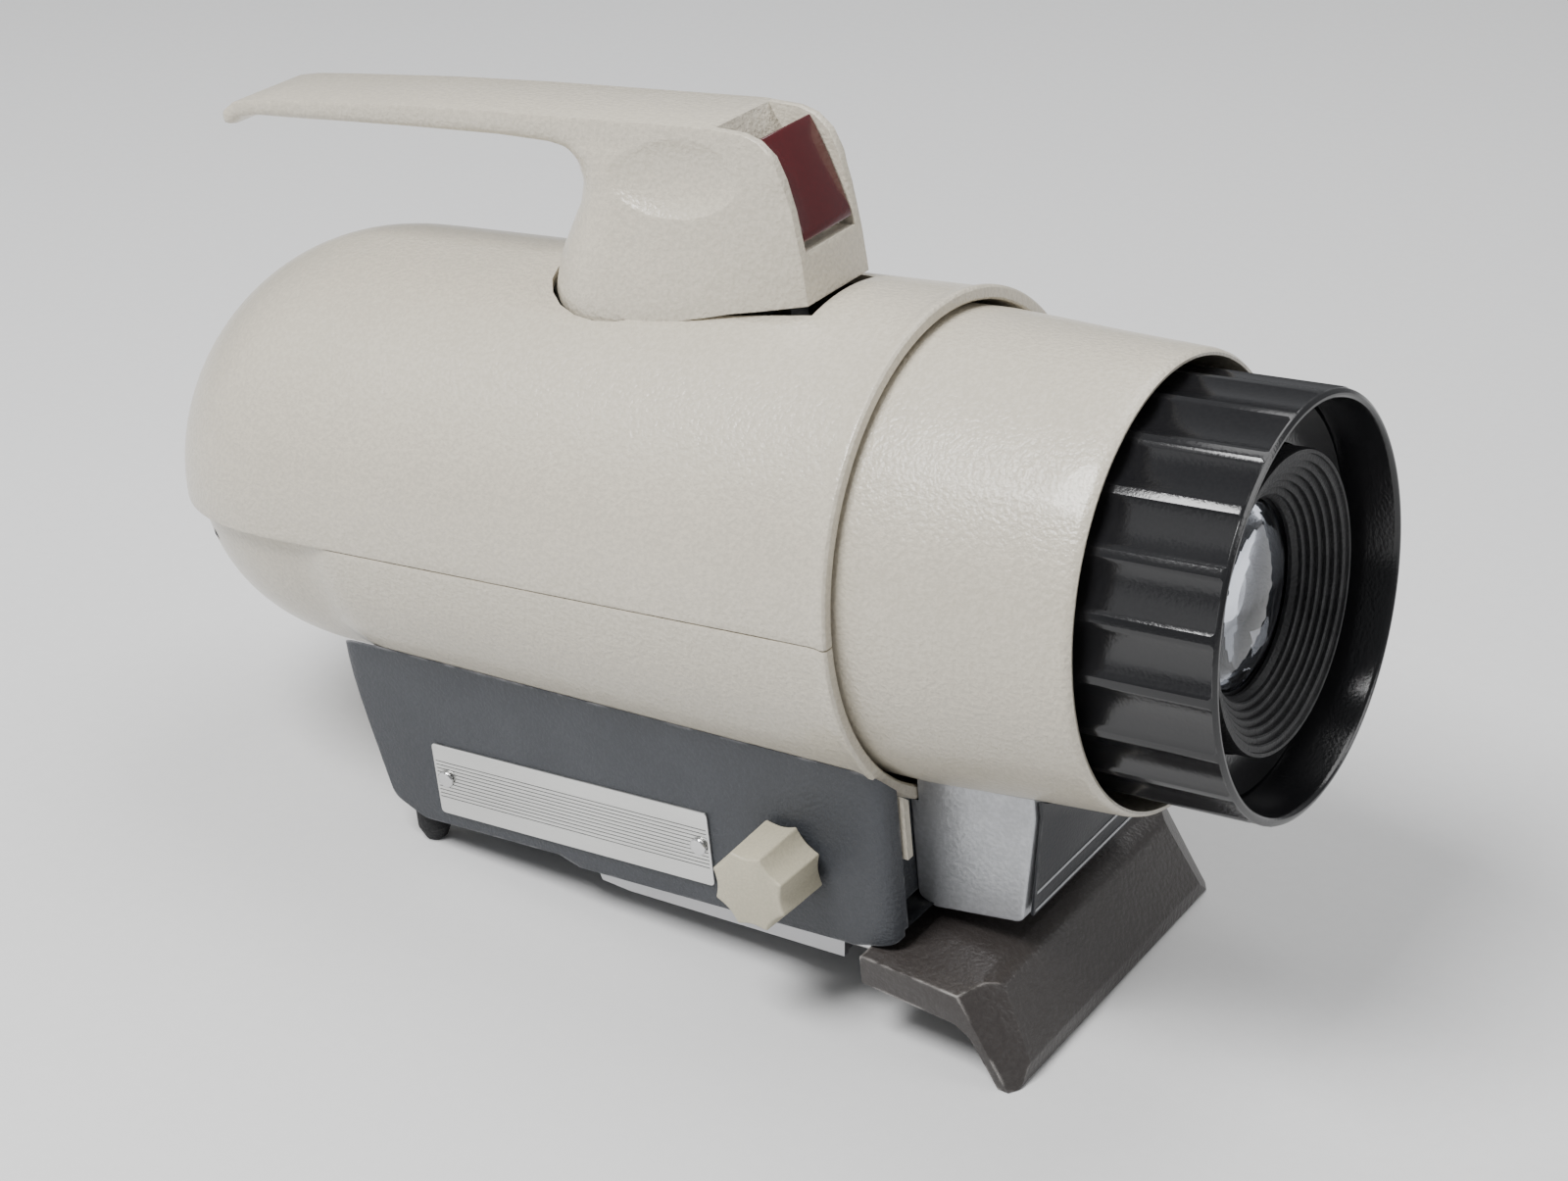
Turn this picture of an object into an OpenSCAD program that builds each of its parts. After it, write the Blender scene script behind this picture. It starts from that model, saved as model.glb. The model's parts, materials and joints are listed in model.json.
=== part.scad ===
/* [Stance] */
// Angle that the front foot tips the projector nose up, in degrees
nose_up = 6.4; // [5:0.1:7]
/* [Housing] */
// Radius of the housing at its front rim
rim_r = 54.8; // [54:0.1:56]
// Radius of the housing where the rear dome starts
waist_r = 52.3; // [51.8:0.1:52.8]
// Length of the rear dome
dome_len = 60; // [59:0.5:62]
// Angle that the rear dome droops below the lens axis
dome_droop = 7.6; // [7:0.1:8]
// Wall of the cast shells
shell_wall = 2.6; // [2.2:0.1:3]
/* [Base] */
// Half width of the base casting
base_hw = 42; // [41:0.5:43]
// Wall of the base casting
base_wall = 2.6; // [2:0.1:3]
/* [Lens] */
// Radius of the focus ring over its ridges
ring_r = 43.9; // [43:0.1:44.4]
// Number of finger flutes round the focus ring
ring_flutes = 22; // [12:1:30]
// Radius of the front glass
glass_r = 19.5; // [17:0.5:20]
/* [Handle] */
// Half width of the grip
grip_hw = 12; // [11:0.5:13]
/* [Knobs] */
// Radius of the elevation knob over its ridges
knob_r = 10; // [8:0.5:11]
// Number of flutes round each knob
knob_flutes = 8; // [6:1:12]
/* [Hidden] */

axis_h = 75.5;           // lens axis above the underside of the base
rim_x = 48.7;            // front rim of the housing
dome_x = -100;           // where the dome meets the barrel of the housing
seam_h = 74.6;           // seam height at x = 0
seam_slope = 1.3;        // the seam rises towards the lens
seam_gap = 0.4;
pin_x = -134.5;            // shell hinge
pin_h = 63;
pin_r = 1.5;
pin_fit = 0.05;
lift = 16.8;             // underside datum above the table, before the stance is turned in
shift_x = 22.5;          // centres the length on the origin
ring_front = 127.9;
ring_rear = 84;
tube_rear = 40;
knob_x = 25.3;
knob_h = 16.2;
knob_out = 58;           // how far each knob reaches from the centre plane
knob_back = 43.6;
arm_x = -28;             // pivot of the elevation arm
arm_h = 4;
arm_drop = 6;            // travel of the arm in degrees
knob_travel = 300;       // travel of the knob in degrees
latch_x = 18.4;          // pivot of the red lever
latch_h = 143.6;
latch_tilt = 21.7;       // lean of the front face of the handle
rod_r = 1.2;
fine = 96;
medium = 48;
big = 400;

// body frame to table frame
module stand() translate([shift_x, 0, lift]) rotate([0, -nose_up, 0]) children();
// a shape drawn round +Z is laid along the lens axis
module on_axis() translate([0, 0, axis_h]) rotate([0, 90, 0]) children();
module turned(points, facets = fine) on_axis() rotate_extrude($fn = facets) polygon(points);
// a profile drawn in x and z, extruded across the body between two y values
module across(y0, y1) translate([0, y1, 0]) rotate([90, 0, 0]) linear_extrude(y1 - y0) children();
module rod_y(x, z, y0, y1, r, facets = medium) translate([x, y0, z]) rotate([-90, 0, 0])
  cylinder(r = r, h = y1 - y0, $fn = facets);
module block(x0, x1, y0, y1, z0, z1) translate([x0, y0, z0]) cube([x1 - x0, y1 - y0, z1 - z0]);
module mirrored_y() { children(); mirror([0, 1, 0]) children(); }

function arc(cx, cy, r, a0, a1, n) = [for (i = [0:n]) let (a = a0 + (a1 - a0) * i / n)
  [cx + r * cos(a), cy + r * sin(a)]];
// radius of the dome at a distance s behind its start
function dome_r(s, r, len) = r * sqrt(max(0, 1 - pow(s / len, 2.6)));
dome_lead = 12;          // the dome's straight part, buried in the barrel
dome_top = waist_r - 1.1;
function dome_profile(r, len, n = 24) = concat([[0, dome_lead], [r, dome_lead]],
  [for (i = [0:n]) let (s = len * sin(90 * i / n)) [dome_r(s, r, len), -s]]);

module dome(r, len) translate([dome_x, 0, axis_h]) rotate([0, -dome_droop, 0])
  rotate([0, 90, 0]) rotate_extrude($fn = fine) polygon(dome_profile(r, len));
module shell_outside() {
  turned([[0, dome_x - 4], [waist_r - 1.8, dome_x - 4], [waist_r + 0.2, dome_x + 10],
    [rim_r - 0.6, rim_x - 3], [rim_r, rim_x - 2], [rim_r, rim_x], [0, rim_x]]);
  dome(dome_top, dome_len);
}
module shell_inside(thin) {
  turned([[0, dome_x - 3], [waist_r - 1.8 - shell_wall, dome_x - 3],
    [waist_r + 0.2 - shell_wall, dome_x + 10],
    [rim_r - 3.2, rim_x - 12], [rim_r - 3.2, rim_x + 1], [0, rim_x + 1]]);
  dome(dome_top - thin, dome_len - thin);
}
// half space above or below the sloping seam
module above_seam(gap) translate([0, -big / 2, seam_h + gap]) rotate([0, -seam_slope, 0])
  translate([-big / 2, 0, 0]) cube([big, big, big / 2]);
module below_seam(gap) translate([0, -big / 2, seam_h - gap]) rotate([0, -seam_slope, 0])
  translate([-big / 2, 0, -big / 2]) cube([big, big, big / 2]);

// ---- housing ----
tuck = 3.2;              // the lower shell's rear is smaller, so the dome swings round it
low_wall = 2.2;
module lower_outside() {
  turned([[0, -104], [waist_r - tuck - 2.2, -104], [waist_r - 2.6, -96], [waist_r + 0.2, -86],
    [rim_r - 0.6, rim_x - 3], [rim_r, rim_x - 2], [rim_r, rim_x], [0, rim_x]]);
  dome(dome_top - tuck, dome_len - tuck);
}
module lower_inside() {
  turned([[0, -103], [waist_r - tuck - 2.2 - low_wall, -103], [waist_r - 2.6 - low_wall, -96],
    [waist_r + 0.2 - shell_wall, -86], [rim_r - 3.2, rim_x - 12], [rim_r - 3.2, rim_x + 1],
    [0, rim_x + 1]]);
  dome(dome_top - tuck - low_wall, dome_len - tuck - low_wall);
}
bed_holes = [[-84, 12], [-84, -12], [20, 12], [20, -12]];
module lower_shell() color([0.88, 0.86, 0.81]) difference() {
  lower_outside();
  lower_inside();
  above_seam(-seam_gap / 2);
  mirrored_y() rod_y(pin_x, pin_h, 30, 60, pin_r + pin_fit);
  for (p = bed_holes) translate([p[0], p[1], 10]) cylinder(r = 2.1, h = 30, $fn = 24);
  block(27.7, 31.8, 30, 60, 49.8, 80);
  // air way from the base up to the lamp
  for (x = [-70:8:-30]) block(x, x + 4, -9, 9, 10, 30);
}
module upper_shell() color([0.89, 0.87, 0.82]) difference() {
  union() {
    difference() {
      shell_outside();
      shell_inside(2.4);
      below_seam(-seam_gap / 2);
    }
    mirrored_y() hinge_ear();
  }
  difference() {
    handle_seat(0.7);
    seat_core();
  }
  for (x = handle_screws_x) translate([x, 0, 110]) cylinder(r = 1.65, h = 30, $fn = 24);
  block(3, 22, -5, 5, 112, 132);
  // the carrier's slot is open below, and long enough for the lid to swing clear of it
  block(27.7, 35.6, 30, 60, 70, 101.3);
  mirrored_y() rod_y(pin_x, pin_h, 30, 60, pin_r + pin_fit);
}
// an arm leans forward from the pin and joins the lid's side wall above the seam
ear_y0 = 30.4;
ear_y1 = 33;
module hinge_ear() {
  rod_y(pin_x, pin_h, ear_y0, ear_y1, 3.8);
  across(ear_y0, ear_y1) polygon([[pin_x - 2.6, pin_h + 2.6], [pin_x + 2.4, pin_h - 2.6], [-117, 76.8],
    [-117, 80.5], [-120.5, 80.5]]);
  block(-121, -117, ear_y0, 49.2, 76.8, 80.5);
}
module hinge_pins() color([0.35, 0.35, 0.36]) mirrored_y() rod_y(pin_x, pin_h, 30.2, 40.6, pin_r);

// ---- base ----
base_front = 51;
base_top = 46;
function base_outline(in = 0) = concat(
  [[-98.6 + in, base_top]],
  arc(-80.5, 8 , 8 - in, 190, 270, 6),
  in == 0 ? [[-40, 0], [-34, -2], [38, -2], [43, 0]] : [[-40, in], [38, in]],
  arc(base_front - 5, 5, 5 - min(in, 4), 270, 360, 5),
  [[base_front - in, base_top]]);
module base_plan(hw, front, rear, r) {
  translate([rear, -hw + r]) square([front - rear, 2 * hw - 2 * r]);
  translate([rear + r, -hw]) square([front - rear - 2 * r, 2 * hw]);
  for (x = [rear + r, front - r]) for (y = [-hw + r, hw - r]) translate([x, y]) circle(r, $fn = 32);
}
module base_block(in) intersection() {
  across(-base_hw + in, base_hw - in) polygon(base_outline(in));
  translate([0, 0, -10]) linear_extrude(80)
    base_plan(base_hw - in, base_front - in, -98.6 + in, 5 - min(in, 4));
}
arm_hw = 38;
module base_housing() color([0.37, 0.38, 0.4]) difference() {
  base_block(0);
  difference() {
    base_block(base_wall);
    // posts that the optical bed and the base plate are screwed to
    for (p = bed_holes) translate([p[0], p[1], 2]) cylinder(r = 4.4, h = 40, $fn = 32);
    for (p = plate_holes) translate([p[0], p[1], 2.2]) cylinder(r = 3.6, h = 16, $fn = 32);
    // floor over the arm well, and the flanges beside the front opening
    difference() {
      block(-41, 49, -40, 40, 2.7, 5);
      block(10.5, 40, -38.2, -26.4, 2, 6);
      mirrored_y() block(arm_x - 5.5, arm_x + 5.5, 35, 38.6, 2, 6);
    }
    mirrored_y() block(46.8, 49.5, 37.3, 40, 2, 45);
  }
  turned([[0, -140], [waist_r + 0.2, -140], [waist_r + 0.2, -86], [rim_r - 0.6, rim_x - 3],
    [rim_r, rim_x - 2], [rim_r, 70], [0, 70]]);
  // underside: a recess for the base plate behind, the arm well in front
  block(-77.5, -38.5, -36, 36, -3, 2);
  block(-38.6, 60, -arm_hw - 0.6, arm_hw + 0.6, -3, 2.7);
  block(-67, -49, -24, 24, 1, 4);
  for (p = rear_foot_spots) translate([p[0], p[1], -1]) cylinder(r = foot_r, h = 1.7, $fn = medium);
  for (p = rear_foot_spots) translate([p[0], p[1], 0]) cylinder(r = 1.12, h = 4, $fn = 24);
  for (x = rivet_spots) rod_y(x, rivet_h, -base_hw - 1, -base_hw + 1.4, 0.8, 24);
  // front opening
  block(46, 56, -37.3, 37.3, 2, 60);
  // vents in the rear wall
  for (y = [-30:7.5:0]) block(-110, -86, y, y + 3.6, 16, 32);
  // mains inlet
  inlet_hole();
  for (p = bed_holes) translate([p[0], p[1], 2]) cylinder(r = 1.6, h = 50, $fn = 24);
  for (p = plate_holes) translate([p[0], p[1], 1]) cylinder(r = 1.25, h = 14, $fn = 24);
  rod_y(knob_x, knob_h, -60, -30, 3.05);
  rod_y(knob_x, knob_h, 30, 60, 3.55);
  rod_y(arm_x, arm_h, -60, 60, 1.55);
}
plate_holes = [[-72, 28], [-72, -28], [-45, 28], [-45, -28]];
rivet_spots = [-70.2, 1.6];
module base_plate() color([0.2, 0.2, 0.21]) difference() {
  block(-77.2, -38.8, -35.7, 35.7, 0.5, 2);
  for (p = plate_holes) translate([p[0], p[1], 0]) cylinder(r = 1.6, h = 3, $fn = 24);
  for (x = [-66:5:-50]) block(x, x + 2.4, -20, 20, 0, 3);
}
module screw(r, len, head_r, head_h) {
  translate([0, 0, -0.01]) cylinder(r = r, h = len, $fn = 24);
  difference() {
    translate([0, 0, -head_h]) cylinder(r = head_r, h = head_h, $fn = 24);
    translate([-head_r, -0.35, -head_h - 1]) cube([2 * head_r, 0.7, 1.6]);
  }
}
module base_plate_screws() color([0.7, 0.7, 0.72]) for (p = plate_holes)
  translate([p[0], p[1], 0.5]) screw(1.25, 9, 2.6, 1.3);
rear_foot_spots = [[-82, 37], [-82, -37]];
foot_r = 4;
module rear_feet() color([0.07, 0.07, 0.07])
  for (p = rear_foot_spots) translate([p[0], p[1], 0]) difference() {
  union() {
    translate([0, 0, -4.5]) cylinder(r = foot_r, h = 5.2, $fn = medium);
    translate([0, 0, -7.4]) cylinder(r1 = foot_r - 1.3, r2 = foot_r, h = 2.9, $fn = medium);
  }
  translate([0, 0, -8]) cylinder(r = 1.7, h = 4.1, $fn = 24);
  translate([0, 0, -8]) cylinder(r = 1.15, h = 10, $fn = 24);
}
module rear_foot_screws() color([0.6, 0.6, 0.62]) for (p = rear_foot_spots)
  translate([p[0], p[1], -3.9]) screw(1.1, 7, 1.5, 1);

plate_x0 = -73.6;
plate_x1 = 4.4;
plate_z0 = 3.5;
plate_z1 = 21.8;
plate_t = 0.7;
rivet_h = 13.2;
module nameplate() color([0.8, 0.8, 0.8]) difference() {
  block(plate_x0, plate_x1, -base_hw - plate_t, -base_hw, plate_z0, plate_z1);
  for (x = rivet_spots) rod_y(x, rivet_h, -base_hw - 1, -base_hw + 1, 0.8, 24);
}
module nameplate_rivets() color([0.7, 0.7, 0.68]) for (x = rivet_spots)
  translate([x, -base_hw - plate_t, rivet_h]) rotate([90, 0, 0]) {
    translate([0, 0, -1.9]) cylinder(r = 0.8, h = 2, $fn = 24);
    intersection() {
      translate([0, 0, -1.1]) sphere(1.85, $fn = 32);
      cylinder(r = 1.5, h = 2, $fn = 32);
    }
  }
pillar_hw = 26.7;
module front_panel() color([0.3, 0.31, 0.33]) difference() {
  block(45, 46.8, -39.3, 39.3, 5.05, 42);
  turned([[0, 30], [rim_r, 30], [rim_r, 70], [0, 70]]);
}
pillar_outline = concat([[46.8, 28.6], [46.8, 4]], arc(50.2, 5.2, 3.4, 210, 262, 4),
  [[71, 3.2]], [[72.6, 3.6], [73.6, 4.6]], [[77.6, 29.6], [77.2, 42], [51.4, 42], [51.2, 37]]);
module pillar() color([0.76, 0.77, 0.79]) difference() {
  across(-pillar_hw, pillar_hw) polygon(pillar_outline);
  turned([[0, 30], [rim_r, 30], [rim_r, rim_x + 0.4], [50.4, rim_x + 0.4], [50.4, 52], [48, 94], [0, 105]]);
}
// the black plate lies on the pillar's sloping front
module pillar_plate() color([0.16, 0.17, 0.2]) difference() {
  across(-pillar_hw + 0.9, pillar_hw - 0.9)
    polygon([[73.82, 5], [74.9, 5.1], [78.7, 29.4], [78.3, 40], [77.2, 40], [77.6, 29.6]]);
  turned([[0, 60], [50.3, 60], [48.4, 94], [0, 105]]);
}
module slot_strip() color([0.88, 0.86, 0.8]) difference() {
  block(46.85, 51.8, -36.6, -34.6, 19, 36);
  turned([[0, 30], [rim_r + 0.5, 30], [rim_r + 0.5, 70], [0, 70]]);
}

// ---- optical unit ----
bed_z0 = 29;
bed_z1 = 31.2;
bed_hw = 16.4;
module optical_bed() color([0.6, 0.61, 0.62]) difference() {
  union() {
    block(-88, 34.2, -bed_hw, bed_hw, bed_z0, bed_z1);
    intersection() {
      for (p = bed_holes) translate([p[0], p[1], 22]) cylinder(r = 4, h = 7.5, $fn = 32);
      lower_inside();
    }
  }
  for (p = bed_holes) translate([p[0], p[1], 20]) cylinder(r = 1.65, h = 20, $fn = 24);
  for (x = [-70:8:-30]) block(x, x + 4, -9, 9, 20, 40);
}
module bed_screws() color([0.7, 0.7, 0.72]) for (p = bed_holes)
  translate([p[0], p[1], bed_z1]) rotate([180, 0, 0]) screw(1.55, 18, 3, 1.8);
module lens_mount() color([0.25, 0.25, 0.26]) difference() {
  turned([[31, 34.2], [50, 34.2], [50, 40], [31, 40]]);
  block(30, 45, -60, 60, 0, bed_z0 - 0.1);
}
module lens_tube() color([0.88, 0.86, 0.8]) turned(concat(
  [[48.6, tube_rear], [50.4, tube_rear], [50.4, 52], [48, 94]],
  arc(46.3, 98, 1.8, 40, 90, 5), arc(45.8, 98.9, 0.9, 90, 180, 3), [[46.2, 93], [48.6, 52]]));
module tube_liner() color([0.15, 0.15, 0.16]) turned([[36, tube_rear], [47, tube_rear], [47, 43],
  [38.5, 43], [38.5, 92], [36, 92]]);
module focus_ring() color([0.05, 0.05, 0.06]) difference() {
  turned([[38.58, ring_rear], [ring_r, ring_rear], [ring_r, ring_front - 1], [ring_r - 1.2, ring_front],
    [41.4, ring_front], [41.2, 113], [38.58, 113]]);
  flute_d = 1.3;
  half = ring_r * sin(180 / ring_flutes);
  flute_r = (half * half + flute_d * flute_d) / (2 * flute_d);
  for (i = [0:ring_flutes - 1]) on_axis() rotate([0, 0, (i + 0.5) * 360 / ring_flutes])
    translate([ring_r - flute_d + flute_r, 0, ring_rear - 1]) cylinder(r = flute_r, h = 60, $fn = 128);
}
mouth_x = 122;
module lens_barrel() color([0.08, 0.08, 0.09]) turned([[glass_r + 0.2, 112], [glass_r + 0.2, 104],
  [18.2, 104], [18.2, 92], [18, 92], [18, 66], [17.2, 66], [17.2, 50], [21, 50], [21, 104], [33.4, 104],
  [33.4, 50], [35.92, 50], [35.92, 98.5], [37, 98.5], [37, 113.4], [31.2, 113.4], [31.2, 112]]);
module name_ring() color([0.1, 0.1, 0.11]) turned([[31.3, 113.5], [40.8, 113.5], [40.8, 116], [31.3, 116]]);
steps = 6;
module ribbed_baffle() color([0.06, 0.06, 0.07]) turned(concat(
  [[31.2, 112.7], [31.2, mouth_x], [30, mouth_x]],
  [for (i = [0:steps * 2 - 1]) let (k = floor(i / 2), odd = i % 2)
    [30 - (k + odd) * 9 / steps, mouth_x - 0.6 - k * 6.6 / steps]],
  [[20.2, 112.7]]));
function lens_face(r, x, rad, side, n = 8) = [for (i = [0:n]) let (y = r * i / n)
  [y, x + side * (sqrt(rad * rad - y * y) - sqrt(rad * rad - r * r))]];
module lens_solid(r, x0, x1, rad0, rad1, side0 = -1, side1 = 1)
  turned(concat(lens_face(r, x1, rad1, side1), [for (i = [8:-1:0]) lens_face(r, x0, rad0, side0)[i]]), 64);
module front_element() color([0.8, 0.85, 0.9, 0.6]) lens_solid(glass_r, 106, 112.4, 60, 44);
module middle_element() color([0.8, 0.85, 0.9, 0.6]) lens_solid(17.8, 77.4, 81.4, 120, 120, 1, -1);
module rear_element() color([0.8, 0.85, 0.9, 0.6]) lens_solid(17, 52, 56, 60, 60);
module retaining_rings() color([0.1, 0.1, 0.11]) {
  turned([[16.6, 81.5], [17.95, 81.5], [17.95, 83.5], [16.6, 83.5]]);
  turned([[16.6, 75.2], [17.95, 75.2], [17.95, 77.3], [16.6, 77.3]]);
  turned([[15.8, 57.4], [17.15, 57.4], [17.15, 59.4], [15.8, 59.4]]);
}

// ---- handle and latch ----
handle_screws_x = [-36, -23, -10];
seat_depth = 1.2;
module seat_core() turned([[0, dome_x], [waist_r - seat_depth, dome_x],
  [rim_r - 0.6 - seat_depth, rim_x - 3], [0, rim_x - 3]]);
module seat_plan(grow) hull() {
  translate([-25.5, 0]) circle(21 + grow, $fn = 40);
  translate([22 + grow, -11.4 - grow]) square([0.5, 22.8 + 2 * grow]);
}
module handle_seat(grow) translate([0, 0, 121]) linear_extrude(20) seat_plan(grow);
module grip_side() polygon(concat([[-30, 165], [-84, 163.4], [-130, 161]],
  [[-134, 160.2], [-137.6, 157.4], [-138.6, 154.4], [-136.4, 153.6], [-134.4, 156], [-131, 157]],
  [[-84, 158], [-52, 158.6], [-42, 157], [-30, 150]], [[0, 150], [0, 165.4]]));
module post_slice(z, cx, r, x1) translate([0, 0, z]) linear_extrude(0.5) {
  translate([cx, 0]) circle(r, $fn = 32);
  translate([x1 - 0.5, -11.4]) square([0.5, 22.8]);
}
module handle() color([0.89, 0.87, 0.82]) difference() {
  union() {
    across(-grip_hw, grip_hw) grip_side();
    hull() { post_slice(122.5, -25.5, 20.6, 22.2); post_slice(129, -25.5, 20.4, 22.2); }
    hull() { post_slice(129, -25.5, 20.4, 22.2); post_slice(138, -23, 16.5, 21.2); }
    hull() { post_slice(138, -23, 16.5, 21.2); post_slice(148, -20, 14, 20.2); }
    hull() { post_slice(148, -20, 14, 20.2); post_slice(157.5, -22, 14, 17.6);
      across(-11.4, 11.4) polygon([[-30, 158], [-26, 165], [12, 164.7], [15.4, 161.8], [18, 157]]); }
  }
  // only the foot of the post goes below the surface of the shell
  seat_core();
  channel();
  for (x = handle_screws_x) translate([x, 0, 110]) cylinder(r = 1.32, h = 34, $fn = 24);
  rod_y(latch_x, latch_h, -10.4, 10.4, 1.02, 32);
}
channel_hw = 9.3;
module channel() {
  across(-channel_hw, channel_hw) polygon([[1.5, 167], [2, 164.8], [9.5, 150], [11.5, 139],
    [17.6, 139], [17.8, 140.9], [26, 140.9], [26, 167]]);
  across(-4.6, 4.6) polygon([[3.5, 120], [3.5, 134], [10, 146], [17.2, 146], [17.2, 120]]);
}
module handle_screws() color([0.7, 0.7, 0.72]) for (x = handle_screws_x)
  translate([x, 0, axis_h + shell_in_r(x) - 0.15]) screw(1.3, 16, 2.8, 1.6);
module lever_frame() translate([latch_x, 0, latch_h]) rotate([0, -latch_tilt, 0]) children();
module latch_lever() color([0.37, 0.13, 0.14]) lever_frame() difference() {
  union() {
    across(-9, 9) polygon(concat(arc(0, 0, 2.35, 180, 350, 10),
      [[2.2, 19.6], [1.7, 20.6], [0.4, 20.6], [-0.2, 2]]));
    rod_y(0, 0, -9, 9, 2.3);
  }
  rod_y(0, 0, -20, 20, 1.05, 32);
  block(-5, 0.3, -4, 4, -5, 5);
}
// inner radius of the upper shell along its length
function shell_in_r(x) = waist_r - shell_wall + (rim_r - 3.2 - waist_r + shell_wall)
  * (x - dome_x + 1) / (rim_x - 11 - dome_x);
hook_t = 3.2;
module latch_hook() color([0.55, 0.55, 0.57]) {
  difference() {
    union() {
      rod_y(latch_x, latch_h, -hook_t, hook_t, 2.1);
      across(-hook_t, hook_t) polygon([[latch_x - 2.1, latch_h], [11, 138], [9.5, 128], [9.5, 113],
        [12, 113], [12, 115], [11.6, 117], [11.6, 128], [13, 136.5], [latch_x - 0.6, latch_h - 2]]);
    }
    rod_y(latch_x, latch_h, -20, 20, 1.05, 32);
  }
}
module latch_pivot_pin() color([0.5, 0.5, 0.52]) rod_y(latch_x, latch_h, -10.2, 10.2, 1, 32);
module latch_spring() color([0.6, 0.6, 0.62]) {
  block(3.55, 4.05, -3, 3, 121.5, 133.5);
  block(3.55, 4.45, -1.2, 1.2, 123, 126);
}
module latch_keeper() color([0.6, 0.6, 0.62]) difference() {
  union() {
    block(12.4, 20, -7, 7, 118.2, 119.8);
    block(18.4, 20, -7, 7, 107.4, 119.8);
    block(12, 23.4, -7, 7, 105.6, 108.6);
  }
  turned([[0, -30], [32.02, -30], [32.02, 30], [0, 30]]);
}
// ---- slide gate ----
gate_x0 = 24.6;
module slide_gate() color([0.3, 0.3, 0.31]) difference() {
  intersection() {
    block(gate_x0, 34, -31, 31, bed_z1, 107);
    turned([[0, gate_x0 - 1], [50.6, gate_x0 - 1], [50.6, 35], [0, 35]]);
  }
  block(gate_x0 + 2.2, 31.8, -25.7, 40, 49.8, 101.2);
  block(20, 40, -18, 18, axis_h - 12.5, axis_h + 12.5);
  block(20, 40, -22, 22, 34, 46);
}
carrier_x0 = 28.1;
carrier_x1 = 31.4;
module slide_carrier() color([0.55, 0.56, 0.58]) difference() {
  union() {
    block(carrier_x0, carrier_x1, -25.2, 55, 50.2, 100.8);
    block(carrier_x0 - 2, carrier_x1, 55, knob_out, 60, 91);
  }
  // window, and the pocket that a slide drops into from above
  block(20, 40, -19, 19, axis_h - 19, axis_h + 19);
  block(carrier_x0 + 0.8, carrier_x1 - 0.5, -24.9, 25.1, 50.9, 110);
}
module gate_spring() color([0.65, 0.65, 0.67]) for (y = [-24, 20]) {
  block(gate_x0 + 2.2, gate_x0 + 2.7, y, y + 4, 52, 99);
  block(gate_x0 + 2.7, gate_x0 + 3.2, y, y + 4, 70, 80);
}
// ---- condenser, lamp and fan ----
module condenser_housing() color([0.5, 0.5, 0.52]) difference() {
  union() {
    turned([[0, -22], [32, -22], [32, 23.6], [0, 23.6]]);
    block(-18, 16.4, -14, 14, bed_z1, 50);
  }
  turned([[0, -23], [29.2, -23], [29.2, -3], [26.5, -3], [26.5, 8], [29.2, 8], [29.2, 24], [0, 24]]);
  for (x = [-14:9:18]) block(x, x + 4, -50, 50, 90, 110);
}
module condenser_lenses() color([0.8, 0.88, 0.9, 0.6]) {
  turned(concat(lens_face(29, -9, 40, -1), [[29, -5], [0, -5]]), 64);
  turned(concat(lens_face(29, 13, 60, 1), [[29, 8.5], [0, 8.5]]), 64);
}
module heat_glass() color([0.75, 0.88, 0.85, 0.6]) turned([[0, 0.5], [26.3, 0.5], [26.3, 3.5], [0, 3.5]]);
lamp_x = -48;
module lamp() color([0.9, 0.9, 0.88, 0.5]) translate([lamp_x, 0, 0]) rotate_extrude($fn = 64)
  polygon(concat([[0, 56.5], [12.6, 56.5], [12.8, 60], [13.6, 62]], arc(0, 94, 13.6, 0, 90, 8)));
module lamp_cap() color([0.75, 0.68, 0.45]) translate([lamp_x, 0, 0]) {
  translate([0, 0, 44]) cylinder(r = 7.4, h = 12.5, $fn = medium);
  translate([0, 0, 42.6]) cylinder(r = 3, h = 1.4, $fn = 24);
}
module lamp_socket() color([0.85, 0.84, 0.8]) translate([lamp_x, 0, 0]) difference() {
  union() {
    translate([0, 0, bed_z1]) cylinder(r = 11.5, h = 20, $fn = medium);
    translate([-14, -14, bed_z1]) cube([28, 28, 3]);
  }
  translate([0, 0, 43]) cylinder(r = 7.45, h = 30, $fn = medium);
  translate([0, 0, 39]) cylinder(r = 3.3, h = 6, $fn = 24);
}
module reflector() color([0.85, 0.85, 0.86]) {
  turned(concat([[3, -81]], [for (i = [1:8]) let (y = 4 * i) [y, -81 + 46 - sqrt(46 * 46 - y * y)]],
    [for (i = [8:-1:1]) let (y = 4 * i) [y, -82.4 + 46 - sqrt(46 * 46 - y * y)]], [[3, -82.4]]), 64);
  block(-72.6, -71, -10, 10, bed_z1, 47.4);
}
motor_h = 57;
module fan_motor() color([0.3, 0.3, 0.32]) difference() {
  translate([-137, 0, motor_h]) rotate([0, 90, 0]) cylinder(r = 13, h = 18, $fn = medium);
  translate([-125, 0, motor_h]) rotate([0, 90, 0]) cylinder(r = 1.55, h = 20, $fn = 24);
}
module motor_bracket() color([0.6, 0.61, 0.62]) difference() {
  union() {
    block(-119, -117, -11, 11, bed_z1 + 1.2, 70);
    block(-119, -80, -8.5, 8.5, bed_z1 + 1.2, bed_z1 + 2.4);
    block(-88, -80, -8.5, 8.5, bed_z1, bed_z1 + 1.3);
  }
  translate([-122, 0, motor_h]) rotate([0, 90, 0]) cylinder(r = 5, h = 10, $fn = 32);
}
blades = 7;
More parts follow.
